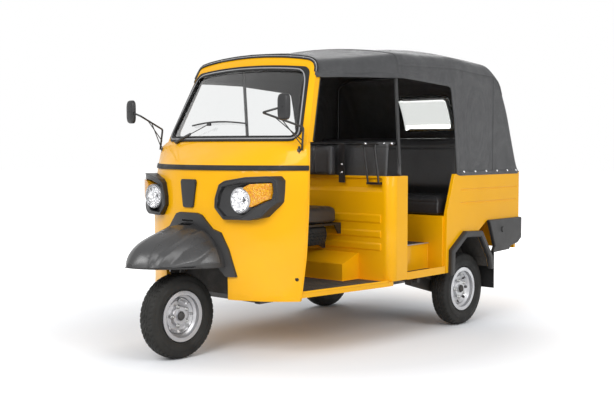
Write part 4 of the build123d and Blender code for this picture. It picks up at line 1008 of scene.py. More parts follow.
# Turned profiles: rows of (share of the lamp's radius, place along its axis), the bulb's in metres.
LENS = [(0, 0.0), (0.3, -0.0004), (0.6, -0.0016), (0.85, -0.0036), (0.96, -0.0055), (0.96, -0.0080), (0.84, -0.0060),
        (0.6, -0.0040), (0.3, -0.0028), (0, -0.0024)]
LAMP_RING = [(0.955, -0.0045), (0.975, -0.0020), (0.998, -0.0040), (1, -0.010), (1, -0.100), (0.97, -0.100),
             (0.965, -0.011)]
BULB = [(0, -0.010), (0.006, -0.011), (0.009, -0.014), (0.009, -0.022), (0.006, -0.026), (0.006, -0.040), (0, -0.040)]


def make_headlamps():
    bezel = surface_of("headlamp_bezels", "front_cowl")
    r = LAMP_RADIUS
    for tag, side in SIDES:
        face = Vector((side * LAMP_X, LAMP_FRONT - 0.012, LAMP_Z))
        lens = lathe("lamp_lens_" + tag, face, (0, -1, 0), scaled(LENS, r), 72)
        dress(lens, "lamp_clear", replaces=["headlamps"] if side == LEFT else ())
        rows = []
        for ring_index, share in enumerate(REFLECTOR_RINGS):
            row = []
            for k in range(LAMP_FACETS):
                a = math.tau * k / LAMP_FACETS
                x, z = face.x + r * share * math.cos(a), face.z + r * share * math.sin(a)
                floor = hit_front(bezel, x, z)[0].y - 0.0015
                bowl = face.y + 0.012 + 0.040 * math.sqrt(1 - share ** 2)
                facet = 0.0042 * (0.5 + 0.5 * math.sin(k * 2.4 + ring_index * 1.9))
                row.append((x, max(min(bowl, floor) - facet, face.y + 0.0082), z))
            rows.append(row)
        inner = grid_piece("lamp_reflector_" + tag, rows, close_u=True)
        mend_normals(inner)
        modify(inner, "SOLIDIFY", thickness=0.0006, offset=0)
        settle(inner)
        inner.data.shade_flat()
        dress(inner, "reflector", "root")
        bulb = lathe("lamp_bulb_" + tag, face, (0, -1, 0), BULB, 24)
        dress(bulb, "chrome", "root")
        trim = lathe("lamp_ring_" + tag, face, (0, -1, 0), scaled(LAMP_RING, r), 72)
        dress(trim, "bright_trim", "root")


def ring_path(outline, radius):
    """An outline in the front view, millimetres, as a rounded path in metres."""
    return rounded([(x * MM, 0, z * MM) for x, z in outline], radius * MM, 5, True)


BEZEL = [(209, 866), (212, 920), (241, 997), (279, 1019), (408, 1042), (532, 1047), (550, 1022), (552, 962),
         (551, 904), (540, 884), (491, 820), (432, 803), (271, 803)]
WINDOW = [(226, 870), (241, 948), (265, 985), (375, 1009), (536, 1013), (540, 966), (534, 918), (448, 872),
          (408, 836), (385, 823), (275, 820)]
BUCKET_X, BUCKET_Z = 0.39, 0.915        # the middle of the window
# The raised edges: name, outline, its corners' radius, how far it is drawn in towards a middle, and the bead's size.
BEZEL_BEADS = (("bezel_lip_", WINDOW, 9, -0.0055, (BUCKET_X, BUCKET_Z), (0.0032, 0.0026)),
               ("bezel_rim_", BEZEL, 12, 0.0045, (BUCKET_X, 0.925), (0.0042, 0.003)))


def drop_on(surface, path, lift=0.0):
    """Front-view points carried back onto a surface."""
    places, normals = [], []
    for p in path:
        place, normal, _, _ = surface.ray_cast(Vector((p.x, AHEAD, p.z)), Vector((0, 1, 0)))
        if place is None:
            before = places[-1].y if places else -0.8
            place, normal, _, _ = surface.find_nearest(Vector((p.x, before, p.z)))
        normal = -normal if normal.y > 0 else normal
        places.append(place + normal * lift)
        normals.append(normal)
    return places, normals


def inset(path, amount, centre):
    """Points drawn in towards a centre by an amount."""
    out = []
    for p in path:
        away = Vector((p.x - centre[0], 0, p.z - centre[1]))
        out.append(p - away.normalized() * amount)
    return out


def longest_run(points, gap):
    """The longest part of a line of points that has no step over gap."""
    runs = [[points[0]]]
    for a, b in zip(points, points[1:]):
        if (b - a).length > gap:
            runs.append([])
        runs[-1].append(b)
    return max(runs, key=len)


def make_bezels():
    """Raised edges, steps and screws of the head-lamp surrounds."""
    surface = surface_of("headlamp_bezels")
    screws = []
    for tag, side in SIDES:
        for name, outline, corner, amount, middle, (wide, high) in BEZEL_BEADS:
            loop = inset(even(ring_path(outline, corner), 0.006, True), amount, middle)
            path, normals = drop_on(surface, [Vector((side * p.x, 0, p.z)) for p in loop])
            dress(sweep(name + tag, path, ring(wide, 8, high), up=normals, closed=True), "grey_moulding")
        # steps in the bucket beside the lamp
        for k, share in enumerate((0.86, 0.70, 0.54)):
            steps = [Vector((side * (BUCKET_X + (p.x - BUCKET_X) * share), 0, BUCKET_Z + (p.z - BUCKET_Z) * share))
                     for p in even(ring_path(WINDOW, 9), 0.010, True)]
            line = sorted((p for p in steps if abs(p.x) < 0.395),
                          key=lambda p: math.atan2(p.z - BUCKET_Z, abs(p.x) - 0.30) % math.tau)
            line = [p for p in line if (abs(p.x) - LAMP_X) ** 2 + (p.z - LAMP_Z) ** 2 > (LAMP_RADIUS + 0.004) ** 2]
            gap = [i for i in range(1, len(line)) if (line[i] - line[i - 1]).length > 0.03]
            if gap:
                line = line[gap[0]:] + line[:gap[0]]
            path = [hit_front(surface, p.x, p.z) for p in line]
            places = [a + b * 0.001 for a, b in path]
            good = [p for p in places if p.y > -0.985]
            longest = longest_run(good, 0.03) if len(good) > 6 else []
            if len(longest) > 5:
                dress(sweep(f"bucket_step_{tag}{k}", longest, ring(0.0035, 8, 0.005 - 0.001 * k), up=(0, -1, 0)),
                      "dark_bucket", "root")
        for x, z in ((0.541, 0.938), (0.505, 0.851), (0.230, 0.905)):
            place, normal = hit_front(surface, side * x, z)
            screws.append(bolt("screw", place, normal, 0.005, 0.002, 20))
    dress(joined("bezel_screws", screws), "black_steel", "root")


def make_tail_lamps():
    low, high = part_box("tail_lamps")
    parts = []
    for tag, side in SIDES:
        x0, x1 = sorted((0.560 * side, 0.640 * side))
        y = high.y
        parts.append(brick("b", (x0 + 0.001, y - 0.012, low.z + 0.001), (x1 - 0.001, y - 0.004, high.z - 0.001), 0.003))
        cuts = np.linspace(low.z + 0.006, high.z - 0.006, 4)
        for k, (a, b) in enumerate(zip(cuts, cuts[1:])):
            lens = brick(f"tail_lens_{tag}{k}", (x0 + 0.005, y - 0.006, a + 0.0012),
                         (x1 - 0.005, y + 0.0035, b - 0.0012), 0.004, 4)
            dress(lens, ("lamp_clear", "lamp_red", "lamp_amber")[k])
        back = brick("c", (x0 + 0.006, y - 0.0085, low.z + 0.007), (x1 - 0.006, y - 0.0062, high.z - 0.007), 0.0005, 1)
        dress(back, "bright_trim", "root")
        back.name = "tail_reflector_" + tag
    dress(joined("tail_lamp_cases", parts), "black_steel", "root", ["tail_lamps"])


# ---- windscreen and cab front -------------------------------------------------------------
SCREEN_LOW, SCREEN_HIGH, SCREEN_CROWN = (0.563, 1.240), (0.474, 1.672), 1.697
# Beads of the screen's seal: how far in, half width, look; the pale one is a painted highlight along the dark seal. And
# of the header: offset, half width, rise, look.
SEAL_BEADS = ((0.0165, 0.0040, "pale_strip_and_painted_highlight"), (0.006, 0.0042, "black_rubber"), (0.0275, 0.0036, "black_rubber"))
HEADER_BEADS = ((0.0, 0.0048, 0.0026, "pale_strip_and_painted_highlight"), (0.0085, 0.004, 0.0042, "black_rubber"),
                (-0.0085, 0.004, 0.0042, "black_rubber"))


def arc_z(x, half, end, crown):
    return crown - (crown - end) * (x / half) ** 2


def screen_path(inward):
    """The aperture's outline in the front view, drawn in by inward."""
    low = Vector((SCREEN_LOW[0] - inward, 0, SCREEN_LOW[1] + inward))
    high = Vector((SCREEN_HIGH[0] - inward * 0.97, 0, SCREEN_HIGH[1] - inward))
    top = [Vector((x, 0, arc_z(x, SCREEN_HIGH[0], SCREEN_HIGH[1], SCREEN_CROWN) - inward))
           for x in np.linspace(-0.36, 0.36, 15)]
    corners = [Vector((-low.x, 0, low.z)), Vector((-high.x, 0, high.z))] + top + [high, low]
    radii = [0.06 - inward * 0.5, 0.10 - inward * 0.5] + [0.0] * len(top) + [0.10 - inward * 0.5, 0.06 - inward * 0.5]
    path = []
    count = len(corners)
    for i, corner in enumerate(corners):
        if radii[i] <= 0:
            path.append(corner)
            continue
        before, after = (corners[i - 1] - corner), (corners[(i + 1) % count] - corner)
        start = corner + before.normalized() * min(radii[i], before.length * 0.6)
        end = corner + after.normalized() * min(radii[i], after.length * 0.6)
        path += [start.lerp(corner, t).lerp(corner.lerp(end, t), t) for t in np.linspace(0, 1, 8)]
    return even(path, 0.012, True)


def make_screen_trim(front_edge):
    seal = surface_of("windscreen_seal")
    # the seal's two dark lips, and a pale bead between them that is a painted highlight
    for k, (inward, half, look) in enumerate(SEAL_BEADS):
        path, normals = drop_on(seal, screen_path(inward), 0.0004)
        profile = strip_profile(half, half * 0.5, 0.002, 0.0010, 0.0024)
        dress(sweep(f"screen_seal_bead{k}", path, profile, up=normals, closed=True), look, "root")
    # beading along the header: two dark lines with a pale strip between them, riveted
    inner = [p for p in front_edge if p.z > 1.640]
    path = even([p + Vector((0, -0.003, 0.002)) for p in inner], 0.014)
    normals = [Vector((0.35 * p.x, -0.80, 0.55)).normalized() for p in path]
    rivets = []
    for k, (offset, half, rise, look) in enumerate(HEADER_BEADS):
        profile = strip_profile(half, half * 0.6, 0.001, rise * 0.5, rise, offset)
        dress(sweep(f"header_bead{k}", path, profile, up=normals), look, "root")
    for k in range(4, len(path) - 3, 7):
        rivets.append(bolt("rivet", path[k] + normals[k] * 0.002, normals[k], 0.0035, 0.002, 12))
    dress(joined("header_rivets", rivets), "zinc", "root")


WIPER_CAP = [(0, 0.014), (0.006, 0.0135), (0.009, 0.010), (0.0105, 0.002), (0.0125, 0), (0.0125, -0.012), (0, -0.012)]
WIPER_ARM = [(-0.007, 0.004), (0, 0.008), (0.007, 0.004), (0.007, -0.003), (-0.007, -0.003)]
WIPER_BLADE = [(-0.003, 0.005), (0.003, 0.005), (0.0045, 0), (0.0012, -0.003), (0.0008, -0.008), (-0.0008, -0.008),
               (-0.0012, -0.003), (-0.0045, 0)]


def make_wiper():
    """Arm with its spring cover, and a blade with its bridges, over the CAD wiper's line."""
    pivot, knee = Vector((-0.380, -0.822, 1.236)), Vector((-0.090, -0.806, 1.345))
    glass_face = surface_of("windscreen", "windscreen_seal", "front_cowl")
    parts = [lathe("w", (-0.380, -0.806, 1.236), (0, -1, 0), WIPER_CAP, 28)]
    arm = pivot.lerp(knee, 0.46)
    parts.append(sweep("w", [pivot, arm], WIPER_ARM, up=(0, -1, 0.2)))
    parts.append(tube("w", [arm, knee], 0.0028, 0.01, 10))
    blade = []
    for x in np.linspace(-0.285, 0.180, 26):
        z = 1.332 + 0.016 * math.sin((x + 0.285) / 0.465 * math.pi) + 0.008 * (x + 0.285) / 0.465
        place, normal = hit_front(glass_face, x, z)
        blade.append(place + normal * 0.010)
    parts.append(sweep("w", blade, WIPER_BLADE, up=(0, -1, 0.35)))
    for start, end in ((1, 9), (16, 24), (5, 20)):
        rise = 0.010 if (start, end) == (5, 20) else 0.006
        middle = (blade[start] + blade[end]) / 2 + Vector((0, -rise, rise * 0.4))
        parts.append(tube("w", [blade[start], middle, blade[end]], 0.0022, 0.05, 8))
    parts.append(brick("w", knee + Vector((-0.014, -0.010, -0.012)), knee + Vector((0.014, 0.006, 0.006)), 0.003))
    dress(joined("wiper_set", parts), "black_steel", replaces=["wiper"])


MIRROR_ROUTE = [(0.604, -0.752, 1.190), (0.600, -0.735, 1.318), (0.516, -0.977, 1.395), (0.648, -0.950, 1.425)]
MIRROR_BRACES = (((0.597, -0.742, 1.245), (0.540, -0.905, 1.372)), ((0.604, -0.750, 1.215), (0.555, -0.862, 1.358)))
# Rows of (depth behind the middle, share of the outline).
MIRROR_HEAD = ((0.013, 0.90), (0.0125, 0.965), (0.010, 1.0), (0.002, 1.0), (-0.006, 0.95), (-0.0115, 0.80),
               (-0.0135, 0.45), (-0.014, 0.05))
MIRROR_PANE = ((0.0118, 0.90), (0.0130, 0.88), (0.0132, 0.5), (0.0132, 0.02))


def make_mirrors():
    """Rounded heads with glass, the bent arm, two brace rods and a bolted foot."""
    cowl = surface_of("front_cowl")
    steel, heads = [], []
    for tag, side in SIDES:
        route = mirrored(MIRROR_ROUTE, side)
        steel.append(tube("arm", route, 0.006, 0.014, 14))
        for brace in MIRROR_BRACES:
            steel.append(tube("brace", mirrored(brace, side), 0.003, 0.01, 8))
        foot, normal = hit(cowl, (side * 0.9, -0.752, 1.190), (-side, 0, 0))
        steel.append(bolt("foot", foot + normal * 0.002, normal, 0.009, 0.006, 6))
        for rise in (0.016, -0.016):
            steel.append(bolt("foot", foot + Vector((0, 0, rise)) + normal * 0.002, normal, 0.005, 0.004, 6))
        centre = route[-1]
        turn = Matrix.Rotation(side * math.atan2(0.1, 1), 3, "Z")
        across, back = turn @ Vector((1, 0, 0)), turn @ Vector((0, 1, 0))
        rows = []
        for depth, share in MIRROR_HEAD:
            row = []
            for k in range(40):
                a = math.tau * k / 40
                x = 0.039 * math.copysign(abs(math.cos(a)) ** 0.55, math.cos(a)) * share
                z = 0.072 * math.copysign(abs(math.sin(a)) ** 0.42, math.sin(a)) * share
                row.append(centre + across * x + back * depth + Vector((0, 0, z)))
            rows.append(row)
        head = grid_piece("mirror_head_" + tag, rows, close_u=True)
        mend_normals(head)
        heads.append(head)
        pane_rows = [[centre + back * depth + (p - centre - back * 0.010) * share for p in rows[2]]
                     for depth, share in MIRROR_PANE]
        pane = grid_piece("mirror_glass_" + tag, pane_rows, close_u=True)
        mend_normals(pane)
        dress(pane, "mirror_glass", "root")
    dress(joined("mirror_arms", steel), "black_steel", replaces=["mirrors"])
    for head in heads:
        dress(head, "grey_moulding", "root")


# ---- body ---------------------------------------------------------------------------------
SOFTENED = {
    "front_cowl": 0.0025, "headlamp_bezels": 0.002, "nose_trim": 0.0025, "wheel_flares": 0.002, "corner_boxes": 0.0015,
    "dashboard": 0.003, "side_panel_l": 0.002, "side_panel_r": 0.002, "rear_panel": 0.002, "engine_door": 0.002,
    "bulkhead": 0.0025, "floor_box": 0.002, "passenger_tub": 0.002, "cab_floor": 0.002, "chassis_frame": 0.0025,
    "trailing_arms": 0.003, "engine": 0.004, "silencer": 0.003, "mud_flaps": 0.001, "tow_eye": 0.0015, "fork": 0.002,
    "seat_frame": 0.0015, "belt_strip": 0.0015, "windscreen_seal": 0.002, "wheel_well": 0.002, "indicators": 0.0015,
    "handlebar": 0.002, "handrails": 0.001}


def second_look(name, look, chosen):
    """Gives some faces of a CAD node another material."""
    mesh = nodes[name].data
    mesh.materials.append(looks[look])
    index = len(mesh.materials) - 1
    for polygon in mesh.polygons:
        if chosen(polygon.center, polygon.normal):
            polygon.material_index = index


def ribbed_mat(name, outline, z, rib_axis, pitch, margin):
    """A rubber mat with raised ribs; outline is its plan, rib_axis 0 for ribs along X."""
    parts = [plate("mat", [(x, y, z) for x, y in outline], (0, 0, 0.003), 0.001, 1)]
    low = [min(p[k] for p in outline) for k in (0, 1)]
    high = [max(p[k] for p in outline) for k in (0, 1)]
    across = 1 - rib_axis
    for mark in np.arange(low[across] + margin, high[across] - margin, pitch):
        crossings = []
        count = len(outline)
        for k in range(count):
            a, b = outline[k], outline[(k + 1) % count]
            if (a[across] - mark) * (b[across] - mark) < 0:
                t = (mark - a[across]) / (b[across] - a[across])
                crossings.append(a[rib_axis] + (b[rib_axis] - a[rib_axis]) * t)
        crossings.sort()
        for start, end in zip(crossings[::2], crossings[1::2]):
            if end - start < 2 * margin:
                continue
            corners = [[start + margin, end - margin], [mark - 0.004, mark + 0.004]]
            if rib_axis == 1:
                corners.reverse()
            (x0, x1), (y0, y1) = corners
            corners = [(x, y, z + 0.003) for x, y in rectangle(x0, x1, y0, y1)]
            parts.append(plate("rib", corners, (0, 0, 0.002), 0.0009, 1))
    return dress(joined(name, parts), "mat", "root")


FLOOR, TUB_FLOOR, STEP = 0.3872, 0.5752, 0.4072        # heights of the floors and the steps
SILL = [(0.690, -0.052), (0.690, -0.110), (0.612, -0.758), (0.560, -0.768)]
NOSING = [(-0.018, -0.001), (-0.018, 0.002), (0.001, 0.003), (0.003, 0.001), (0.003, -0.020), (0.0005, -0.020),
          (0.0005, -0.001)]


def make_mats():
    ribbed_mat("cab_mat", [(-0.655, -0.075), (-0.465, -0.075), (-0.465, -0.222), (0.465, -0.222), (0.465, -0.075),
                           (0.655, -0.075), (0.600, -0.715), (-0.600, -0.715)], FLOOR, 1, 0.045, 0.02)
    ribbed_mat("passenger_mat", rectangle(-0.540, 0.540, 0.0, 0.535), TUB_FLOOR, 0, 0.04, 0.02)
    for tag, side in SIDES:
        x0, x1 = sorted((side * 0.566, side * 0.680))
        ribbed_mat("step_mat_" + tag, rectangle(x0, x1, 0.13, 0.538), STEP, 1, 0.022, 0.012)
        # a bright nosing on the edge of the floor
        edge = mirrored([(0.5585, 0.135, 0.5765), (0.5585, 0.535, 0.5765)], side)
        profile = [(-side * a, b) for a, b in NOSING]
        dress(sweep("floor_nosing_" + tag, even(edge, 0.1), profile), "bright_trim", "root")
        # the raised edge of the cab floor, round its front corner
        lip = rounded([(side * x, y, FLOOR + 0.004) for x, y in SILL], 0.05)
        dress(sweep("sill_lip_" + tag, lip, ring(0.006, 10, 0.008)), "body_paint")


DOOR_EDGE = [(0.615, -0.784, 0.350), (0.625, -0.750, 0.600), (0.638, -0.745, 0.870), (0.638, -0.740, 1.093),
             (0.624, -0.722, 1.206), (0.602, -0.698, 1.236)]
PILLAR = [(0.598, -0.6495, 1.240), (0.4975, -0.456, 1.700)]


def make_flanges():
    """A rolled edge along the door opening of the cab front, and the plugs near it."""
    cowl = surface_of("front_cowl")
    for tag, side in SIDES:
        run = even(rounded([(side * (x - 0.001), y + 0.012, z) for x, y, z in DOOR_EDGE], 0.03), 0.02)
        dress(sweep("door_flange_" + tag, run, ring(0.0045, 8), up=(0, 1, 0)), "body_paint")
        pillar = even(mirrored(PILLAR, side), 0.03)
        dress(sweep("pillar_gutter_" + tag, pillar, ring(0.004, 8, 0.005), up=(0, 1, 0)), "black_rubber")
    plugs = [bolt("plug", *hit_front(cowl, x, 0.47), 0.008, 0.002, 20) for x in (0.600, -0.600)]
    dress(joined("cowl_plugs", plugs), "black_rubber")


# The fender's lower edge in millimetres: y, x, z.
FENDER_RIM = [(-1488, 22, 551), (-1470, 50, 549), (-1440, 84, 547), (-1395, 120, 544), (-1340, 150, 542),
              (-1260, 193, 540), (-1180, 226, 538), (-1080, 246, 537), (-1000, 255, 536)]


def make_fender_trim():
    """The rolled rim of the front fender."""
    line = [Vector((x, y, z)) * MM for y, x, z in reversed(FENDER_RIM)]
    line += [Vector((-x, y, z)) * MM for y, x, z in FENDER_RIM]
    dress(sweep("fender_rim", even(line, 0.012), ring(0.004, 8, 0.0045)), "grey_moulding")


def make_arch_shade_plates():
    """Dark plates inboard of the rear wheels, above the axle, that stand for the shade seen through the arches: painted
    shade.
    """
    for tag, side in SIDES:
        arc = [math.radians(a) for a in range(18, 163, 6)]
        outline = [(side * 0.5195, REAR_AXLE_Y + reach * math.cos(a), TYRE_RADIUS + reach * math.sin(a))
                   for reach, turns in ((0.325, arc), (0.185, arc[::-1])) for a in turns]
        dress(plate("arch_shade_plate_" + tag, outline, (side * 0.0025, 0, 0), 0.0008, 1), "underseal_and_painted_shade")


CREASES = (          # the angle from upright of each crease of the fender, in degrees, at stations along it
    ((-1.440, 86), (-1.430, 81), (-1.414, 50), (-1.360, 31), (-1.219, 27), (-1.094, 13)),
    ((-1.400, 90), (-1.392, 87), (-1.356, 65), (-1.260, 49), (-1.152, 38), (-1.051, 36)),
    ((-1.330, 88), (-1.313, 78), (-1.235, 62), (-1.130, 55), (-1.034, 53)),
    ((-1.380, 90), (-1.352, 87), (-1.202, 81), (-1.126, 71), (-1.034, 58)))
FENDER_AXIS_Z = 0.545


def fender_rise(y, angle):
    """How far the fender's creases stand up at a place, in millimetres."""
    first, second, third, fourth = (float(np.interp(y, [p[0] for p in line], [p[1] for p in line])) for line in CREASES)
    second = max(second, first + 6)
    third = max(third, second + 6)
    fourth = max(fourth, third + 5)
    marks = (0, first - 9, first - 2, first + 0.62 * (second - first), second, third, fourth, fourth + 7, 130)
    rises = (8.0, 12.0, 13.5, 0.8, 13.0, 0.6, 9.5, 1.6, 0.8)
    rise = float(np.interp(abs(angle), marks, rises))
    fade = min(1.0, max(0.0, (y + 1.488) / 0.05)) * min(1.0, max(0.0, (-1.035 - y) / 0.05))
    if abs(angle) < 34:
        fade *= min(1.0, max(0.0, (-1.100 - y) / 0.08))
    return 1.0 + (rise - 1.0) * fade


def make_fender():
    """The pressed creases of the front fender, laid over its shell, and a black sheet behind its vents as painted
    shade.
    """
    surface, cowl = surface_of("front_fender"), surface_of("front_cowl")
    angles = np.linspace(-86, 86, 173)
    stations = np.concatenate([[-1.4885, -1.486, -1.481, -1.474, -1.466], np.linspace(-1.456, -1.045, 60)])
    ways = [Vector((math.sin(a), 0, math.cos(a))) for a in np.radians(angles)]
    places = [[Vector((0, min(y, -1.100 + 0.055 * min(1.0, max(0.0, (abs(angle) - 24) / 24))), FENDER_AXIS_Z))
               for angle in angles] for y in stations]
    reach = np.full((len(stations), len(angles)), np.nan)
    for v, row in enumerate(places):
        for u, (place, out) in enumerate(zip(row, ways)):
            found = surface.ray_cast(place + out * 0.6, -out)[0]
            if found is not None and (found - place).dot(out) > 0.02:
                reach[v, u] = (found - place).dot(out)
    index = np.arange(len(stations))
    for u in range(len(angles)):
        known = ~np.isnan(reach[:, u])
        reach[:, u] = np.interp(index, index[known], reach[known, u])
    rows = []
    for v, row in enumerate(places):
        line = [place + out * (reach[v, u] + fender_rise(place.y, angles[u]) * MM)
                for u, (place, out) in enumerate(zip(row, ways))]
        hem = float(np.interp(stations[v], (-1.488, -1.000), (0.551, 0.537)))
        rows.append([Vector((line[0].x, line[0].y, hem))] + line + [Vector((line[-1].x, line[-1].y, hem))])
    rows = smoothed(rows, 2)
    skin = grid_piece("fender_pressing", rows)
    modify(skin, "WELD", merge_threshold=2e-4)
    modify(skin, "SOLIDIFY", thickness=0.0009, offset=-1)
    dress(settle(skin), "fender_plastic", "root")
    # painted shade: a black sheet laid on the cowl behind the vents, so that they read dark
    rows = []
    for z in np.linspace(0.744, 0.806, 8):
        row = []
        for x in np.linspace(-0.125, 0.125, 21):
            place, normal = hit_front(cowl, x, z)
            row.append(place + normal * 0.0008)
        rows.append(row)
    back = grid_piece("vent_shade_sheet", rows)
    modify(back, "SOLIDIFY", thickness=0.0006, offset=0)
    dress(settle(back), "black_rubber", "root")


def make_shocks():
    parts, coils = [], []
    for _, side in SIDES:
        low = Vector((side * 0.480, 0.788, 0.302))
        high = Vector((side * 0.480, 0.702, 0.733))
        axis = (high - low).normalized()
        length = (high - low).length
        damper = [(0, 0), (0.018, 0), (0.018, 0.05), (0.034, 0.062), (0.034, 0.068), (0.019, 0.074), (0.019, 0.22),
                  (0.008, 0.225), (0.008, length - 0.06), (0.033, length - 0.055), (0.034, length - 0.04),
                  (0.016, length - 0.030), (0.014, length), (0, length)]
        parts.append(lathe("s", low, axis, damper, 32))
        other = axis.cross(Vector((1, 0, 0)))
        turns, steps = 8, 20
        helix = []
        for k in range(turns * steps + 1):
            a = math.tau * k / steps
            share = k / (turns * steps)
            helix.append(low + axis * (0.070 + (length - 0.130) * share)
                         + Vector((1, 0, 0)) * 0.0275 * math.cos(a) + other * 0.0275 * math.sin(a))
        coils.append(sweep("c", helix, ring(0.0045, 8), up=axis))
    dress(joined("shock_bodies", parts), "dark_steel", "root", ["shock_absorbers"])
    dress(joined("shock_springs", coils), "black_steel")


# The engine's round covers: (y, z) of the middle, profile, segments, radius of the bolts' circle, bolts.
COVERS = (((1.05, 0.40), [(0, 0.016), (0.05, 0.016), (0.095, 0.012), (0.105, 0.004), (0.105, 0), (0, 0)], 48, 0.088, 6),
          ((0.80, 0.38), [(0, 0.014), (0.03, 0.014), (0.055, 0.010), (0.06, 0), (0, 0)], 40, 0.048, 4))


def make_rear():
    """The engine door's latch and pressed edge, and the engine's fins and covers."""
    y = 1.483
    latch = [brick("h", (-0.045, y - 0.002, 0.533), (0.045, y + 0.003, 0.563), 0.004),
             tube("h", [(-0.028, y + 0.003, 0.548), (-0.024, y + 0.006, 0.548), (0.024, y + 0.006, 0.548),
                        (0.028, y + 0.003, 0.548)], 0.003, 0.004, 10)]
    dress(joined("hatch_latch", latch), "zinc", "engine_hatch")
    border = [Vector((x, y + 0.0005, z)) for x, z in rectangle(-0.412, 0.412, 0.518, 0.882)]
    border = even(rounded(border, 0.03, 5, True), 0.02, True)
    dress(sweep("hatch_bead", border, ring(0.005, 8, 0.0035), up=(0, 1, 0), closed=True), "body_paint", "engine_hatch")
    fins = []
    for k in range(9):
        y0 = 0.66 + k * 0.026
        fins.append(brick("f", (-0.205, y0, 0.300), (0.205, y0 + 0.005, 0.545), 0.0015, 1))
    for k in range(8):
        x0 = -0.17 + k * 0.045
        fins.append(brick("f", (x0, 0.93, 0.2455), (x0 + 0.006, 1.18, 0.262), 0.0015, 1))
    dress(joined("engine_fins", fins), "cast_alloy")
    covers = [lathe("e", (0.186, *middle), (1, 0, 0), profile, segments) for middle, profile, segments, _, _ in COVERS]
    for middle, _, _, radius, count in COVERS:
        covers += [bolt("b", (0.200, middle[0] + a, middle[1] + b), (1, 0, 0), 0.006, 0.005, 6)
                   for a, b in ring(radius, count)]
    dress(joined("engine_covers", covers), "cast_alloy")


SWITCH_POD = [(0.0125, -0.016), (0.021, -0.016), (0.0235, -0.011), (0.0235, 0.011), (0.021, 0.016), (0.0125, 0.016)]
DIAL_BEZEL = [(0.050, -0.004), (0.050, 0.006), (0.047, 0.010), (0.041, 0.010), (0.039, 0.004), (0.0, 0.004),
              (0, -0.004)]
DIAL_GLASS = [(0, 0.0085), (0.030, 0.0080), (0.0405, 0.0065), (0.0405, 0.0055), (0.030, 0.0070), (0, 0.0075)]
COLUMN_Y = -1.190                       # where the steering axis meets the ground


def make_controls():
    """Grips, levers, switch pods and the instrument on the handlebar."""
    rubber, steel, pods = [], [], []
    rake = math.radians(20)
    middle_y = COLUMN_Y + 1.040 * math.tan(rake) + 0.020
    bar_z = 1.058
    grip_y, grip_z = middle_y + 0.080, bar_z + 0.004
    for side in (LEFT, RIGHT):
        end = Vector((side * 0.280, grip_y, grip_z))
        inner = Vector((side * 0.194, grip_y - 0.0625, bar_z + 0.0009))
        along = (inner - end).normalized()
        length = (inner - end).length
        profile = [(0, -0.004), (0.013, -0.004), (0.0185, 0.0)]
        for k in range(12):
            a = 0.004 + k * (length - 0.012) / 12
            profile += [(0.0165, a), (0.0165, a + 0.0022), (0.0178, a + 0.0030), (0.0178, a + 0.0062)]
        profile += [(0.021, length - 0.006), (0.021, length), (0.012, length)]
        rubber.append(lathe("g", end, along, profile, 28))
        pod = inner + along * 0.018
        pods.append(lathe("p", pod, along, SWITCH_POD, 24))
        pivot = pod + Vector((0, -0.020, 0.0))
        lever = [pivot, pivot - along * 0.04 + Vector((0, -0.010, 0)), end + Vector((0, -0.036, -0.004)),
                 end + Vector((side * 0.006, -0.030, -0.004))]
        steel.append(sweep("l", rounded(lever, 0.02), ring(0.004, 8, 0.0065), up=(0, 0, 1)))
        steel.append(bolt("l", pivot + Vector((0, 0, 0.010)), (0, 0, 1), 0.006, 0.004, 6))
    dress(joined("bar_grips", rubber), "black_rubber", "steering")
    dress(joined("bar_levers", steel), "zinc", "steering")
    dress(joined("switch_pods", pods), "grey_moulding", "steering")
    steer = Vector((0, math.sin(rake), math.cos(rake)))
    top = Vector((0, COLUMN_Y, 0)) + steer * ((1.036 / math.cos(rake)) + 0.054)
    top += Vector((0, 0.004, 0))
    bezel = lathe("dial_bezel", top, steer, DIAL_BEZEL, 48)
    dress(bezel, "inner_panel", "steering")
    marks = []
    side = Vector((1, 0, 0))
    other = steer.cross(side)
    face = top + steer * 0.0045
    for k in range(21):
        a = math.radians(225 - 270 * k / 20)
        out = side * math.cos(a) + other * math.sin(a)
        reach = 0.008 if k % 5 == 0 else 0.004
        across = steer.cross(out) * (0.0009 if k % 5 == 0 else 0.0005)
        a0, a1 = face + out * (0.036 - reach), face + out * 0.036
        marks.append(plate("m", [a0 - across, a1 - across, a1 + across, a0 + across], steer * 0.0006, 0))
    needle = math.radians(215)
    out = side * math.cos(needle) + other * math.sin(needle)
    across = steer.cross(out) * 0.0012
    tail, tip = face - out * 0.006, face + out * 0.030
    marks.append(plate("m", [tail - across, tip, tail + across], steer * 0.0012, 0))
    dress(joined("dial_marks", marks), "bright_trim", "steering")
    cover = lathe("dial_glass", top, steer, DIAL_GLASS, 40)
    dress(cover, "clear_glass", "steering")


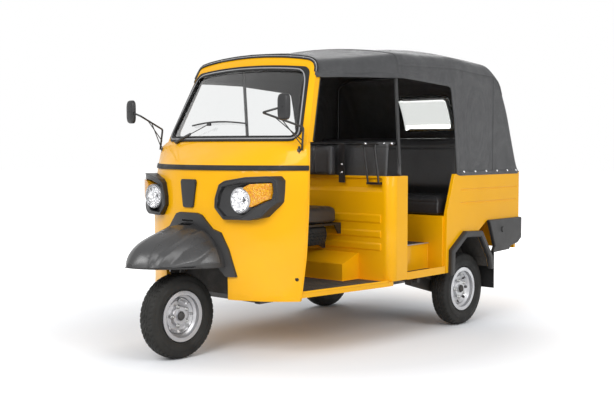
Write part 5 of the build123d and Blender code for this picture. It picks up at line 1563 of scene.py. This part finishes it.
def make_cabin_details():
    """Bolts on the grab rail, its posts and the mud flaps' clamps, brackets at the middle posts, and tray lips."""
    bolts = []
    for x in (-0.650, -0.590, -0.470, 0.470, 0.590, 0.650):
        y = 0.0 if abs(x) < 0.5 else 0.030
        bolts.append(bolt("b", (x, y - 0.012, 1.229), (0, -1, 0), 0.006, 0.005, 20))
    for _, side in SIDES:
        for z in (1.05, 1.10):
            bolts.append(bolt("b", (side * 0.317, -0.0575, z), (0, -1, 0), 0.006, 0.005, 6))
        for x in (0.60, 0.65, 0.69):
            bolts.append(bolt("b", (side * x, 1.1522, 0.460), (0, 1, 0), 0.006, 0.004, 6))
    dress(joined("cabin_bolts", bolts), "chrome", "root")
    brackets = []
    for _, side in SIDES:
        x = side * 0.664
        outline = [(x, 0.052, 1.0315), (x, 0.094, 1.0315), (x, 0.090, 1.120), (x, 0.082, 1.140), (x, 0.074, 1.120)]
        brackets.append(plate("k", outline, (side * 0.004, 0, 0), 0.001, 1))
        for y, z in ((0.066, 1.045), (0.082, 1.100)):
            brackets.append(bolt("k", (x + side * 0.004, y, z), (side, 0, 0), 0.006, 0.004, 6))
    dress(joined("post_brackets", brackets), "black_steel")
    # the lips of the dashboard's two trays
    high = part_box("dashboard")[1]
    parts = [brick("d", (x, high.y - 0.012, high.z - 0.0005), (x + 0.22, high.y - 0.004, high.z + 0.012), 0.003)
             for x in (-0.34, 0.12)]
    dress(joined("dash_trays", parts), "grey_moulding")


# ---- assembly -----------------------------------------------------------------------------
make_camera()
looks = make_looks()
make_studio()
for row in frame["record"]["subparts"]:
    node_mesh = nodes[row["node"]].data
    node_mesh.materials.clear()
    node_mesh.materials.append(looks[row["material_slot"]])
nodes["wheel_well"].data.materials[0] = looks["underseal_and_painted_shade"]
# painted shade: the side panels' faces inboard of x 0.6745 take the dark look, where the inside of the body lies in
# shade
for name in ("side_panel_l", "side_panel_r"):
    second_look(name, "underseal_and_painted_shade", lambda centre, normal: abs(centre.x) < 0.6745)
for name, width in SOFTENED.items():
    soften(nodes[name], width)
front_edge = make_hood()
make_cushions()
make_partition()
make_wheels()
make_headlamps()
make_bezels()
make_tail_lamps()
make_screen_trim(front_edge)
make_wiper()
make_mirrors()
make_mats()
make_flanges()
make_fender_trim()
make_arch_shade_plates()
make_fender()
make_shocks()
make_rear()
make_controls()
make_cabin_details()
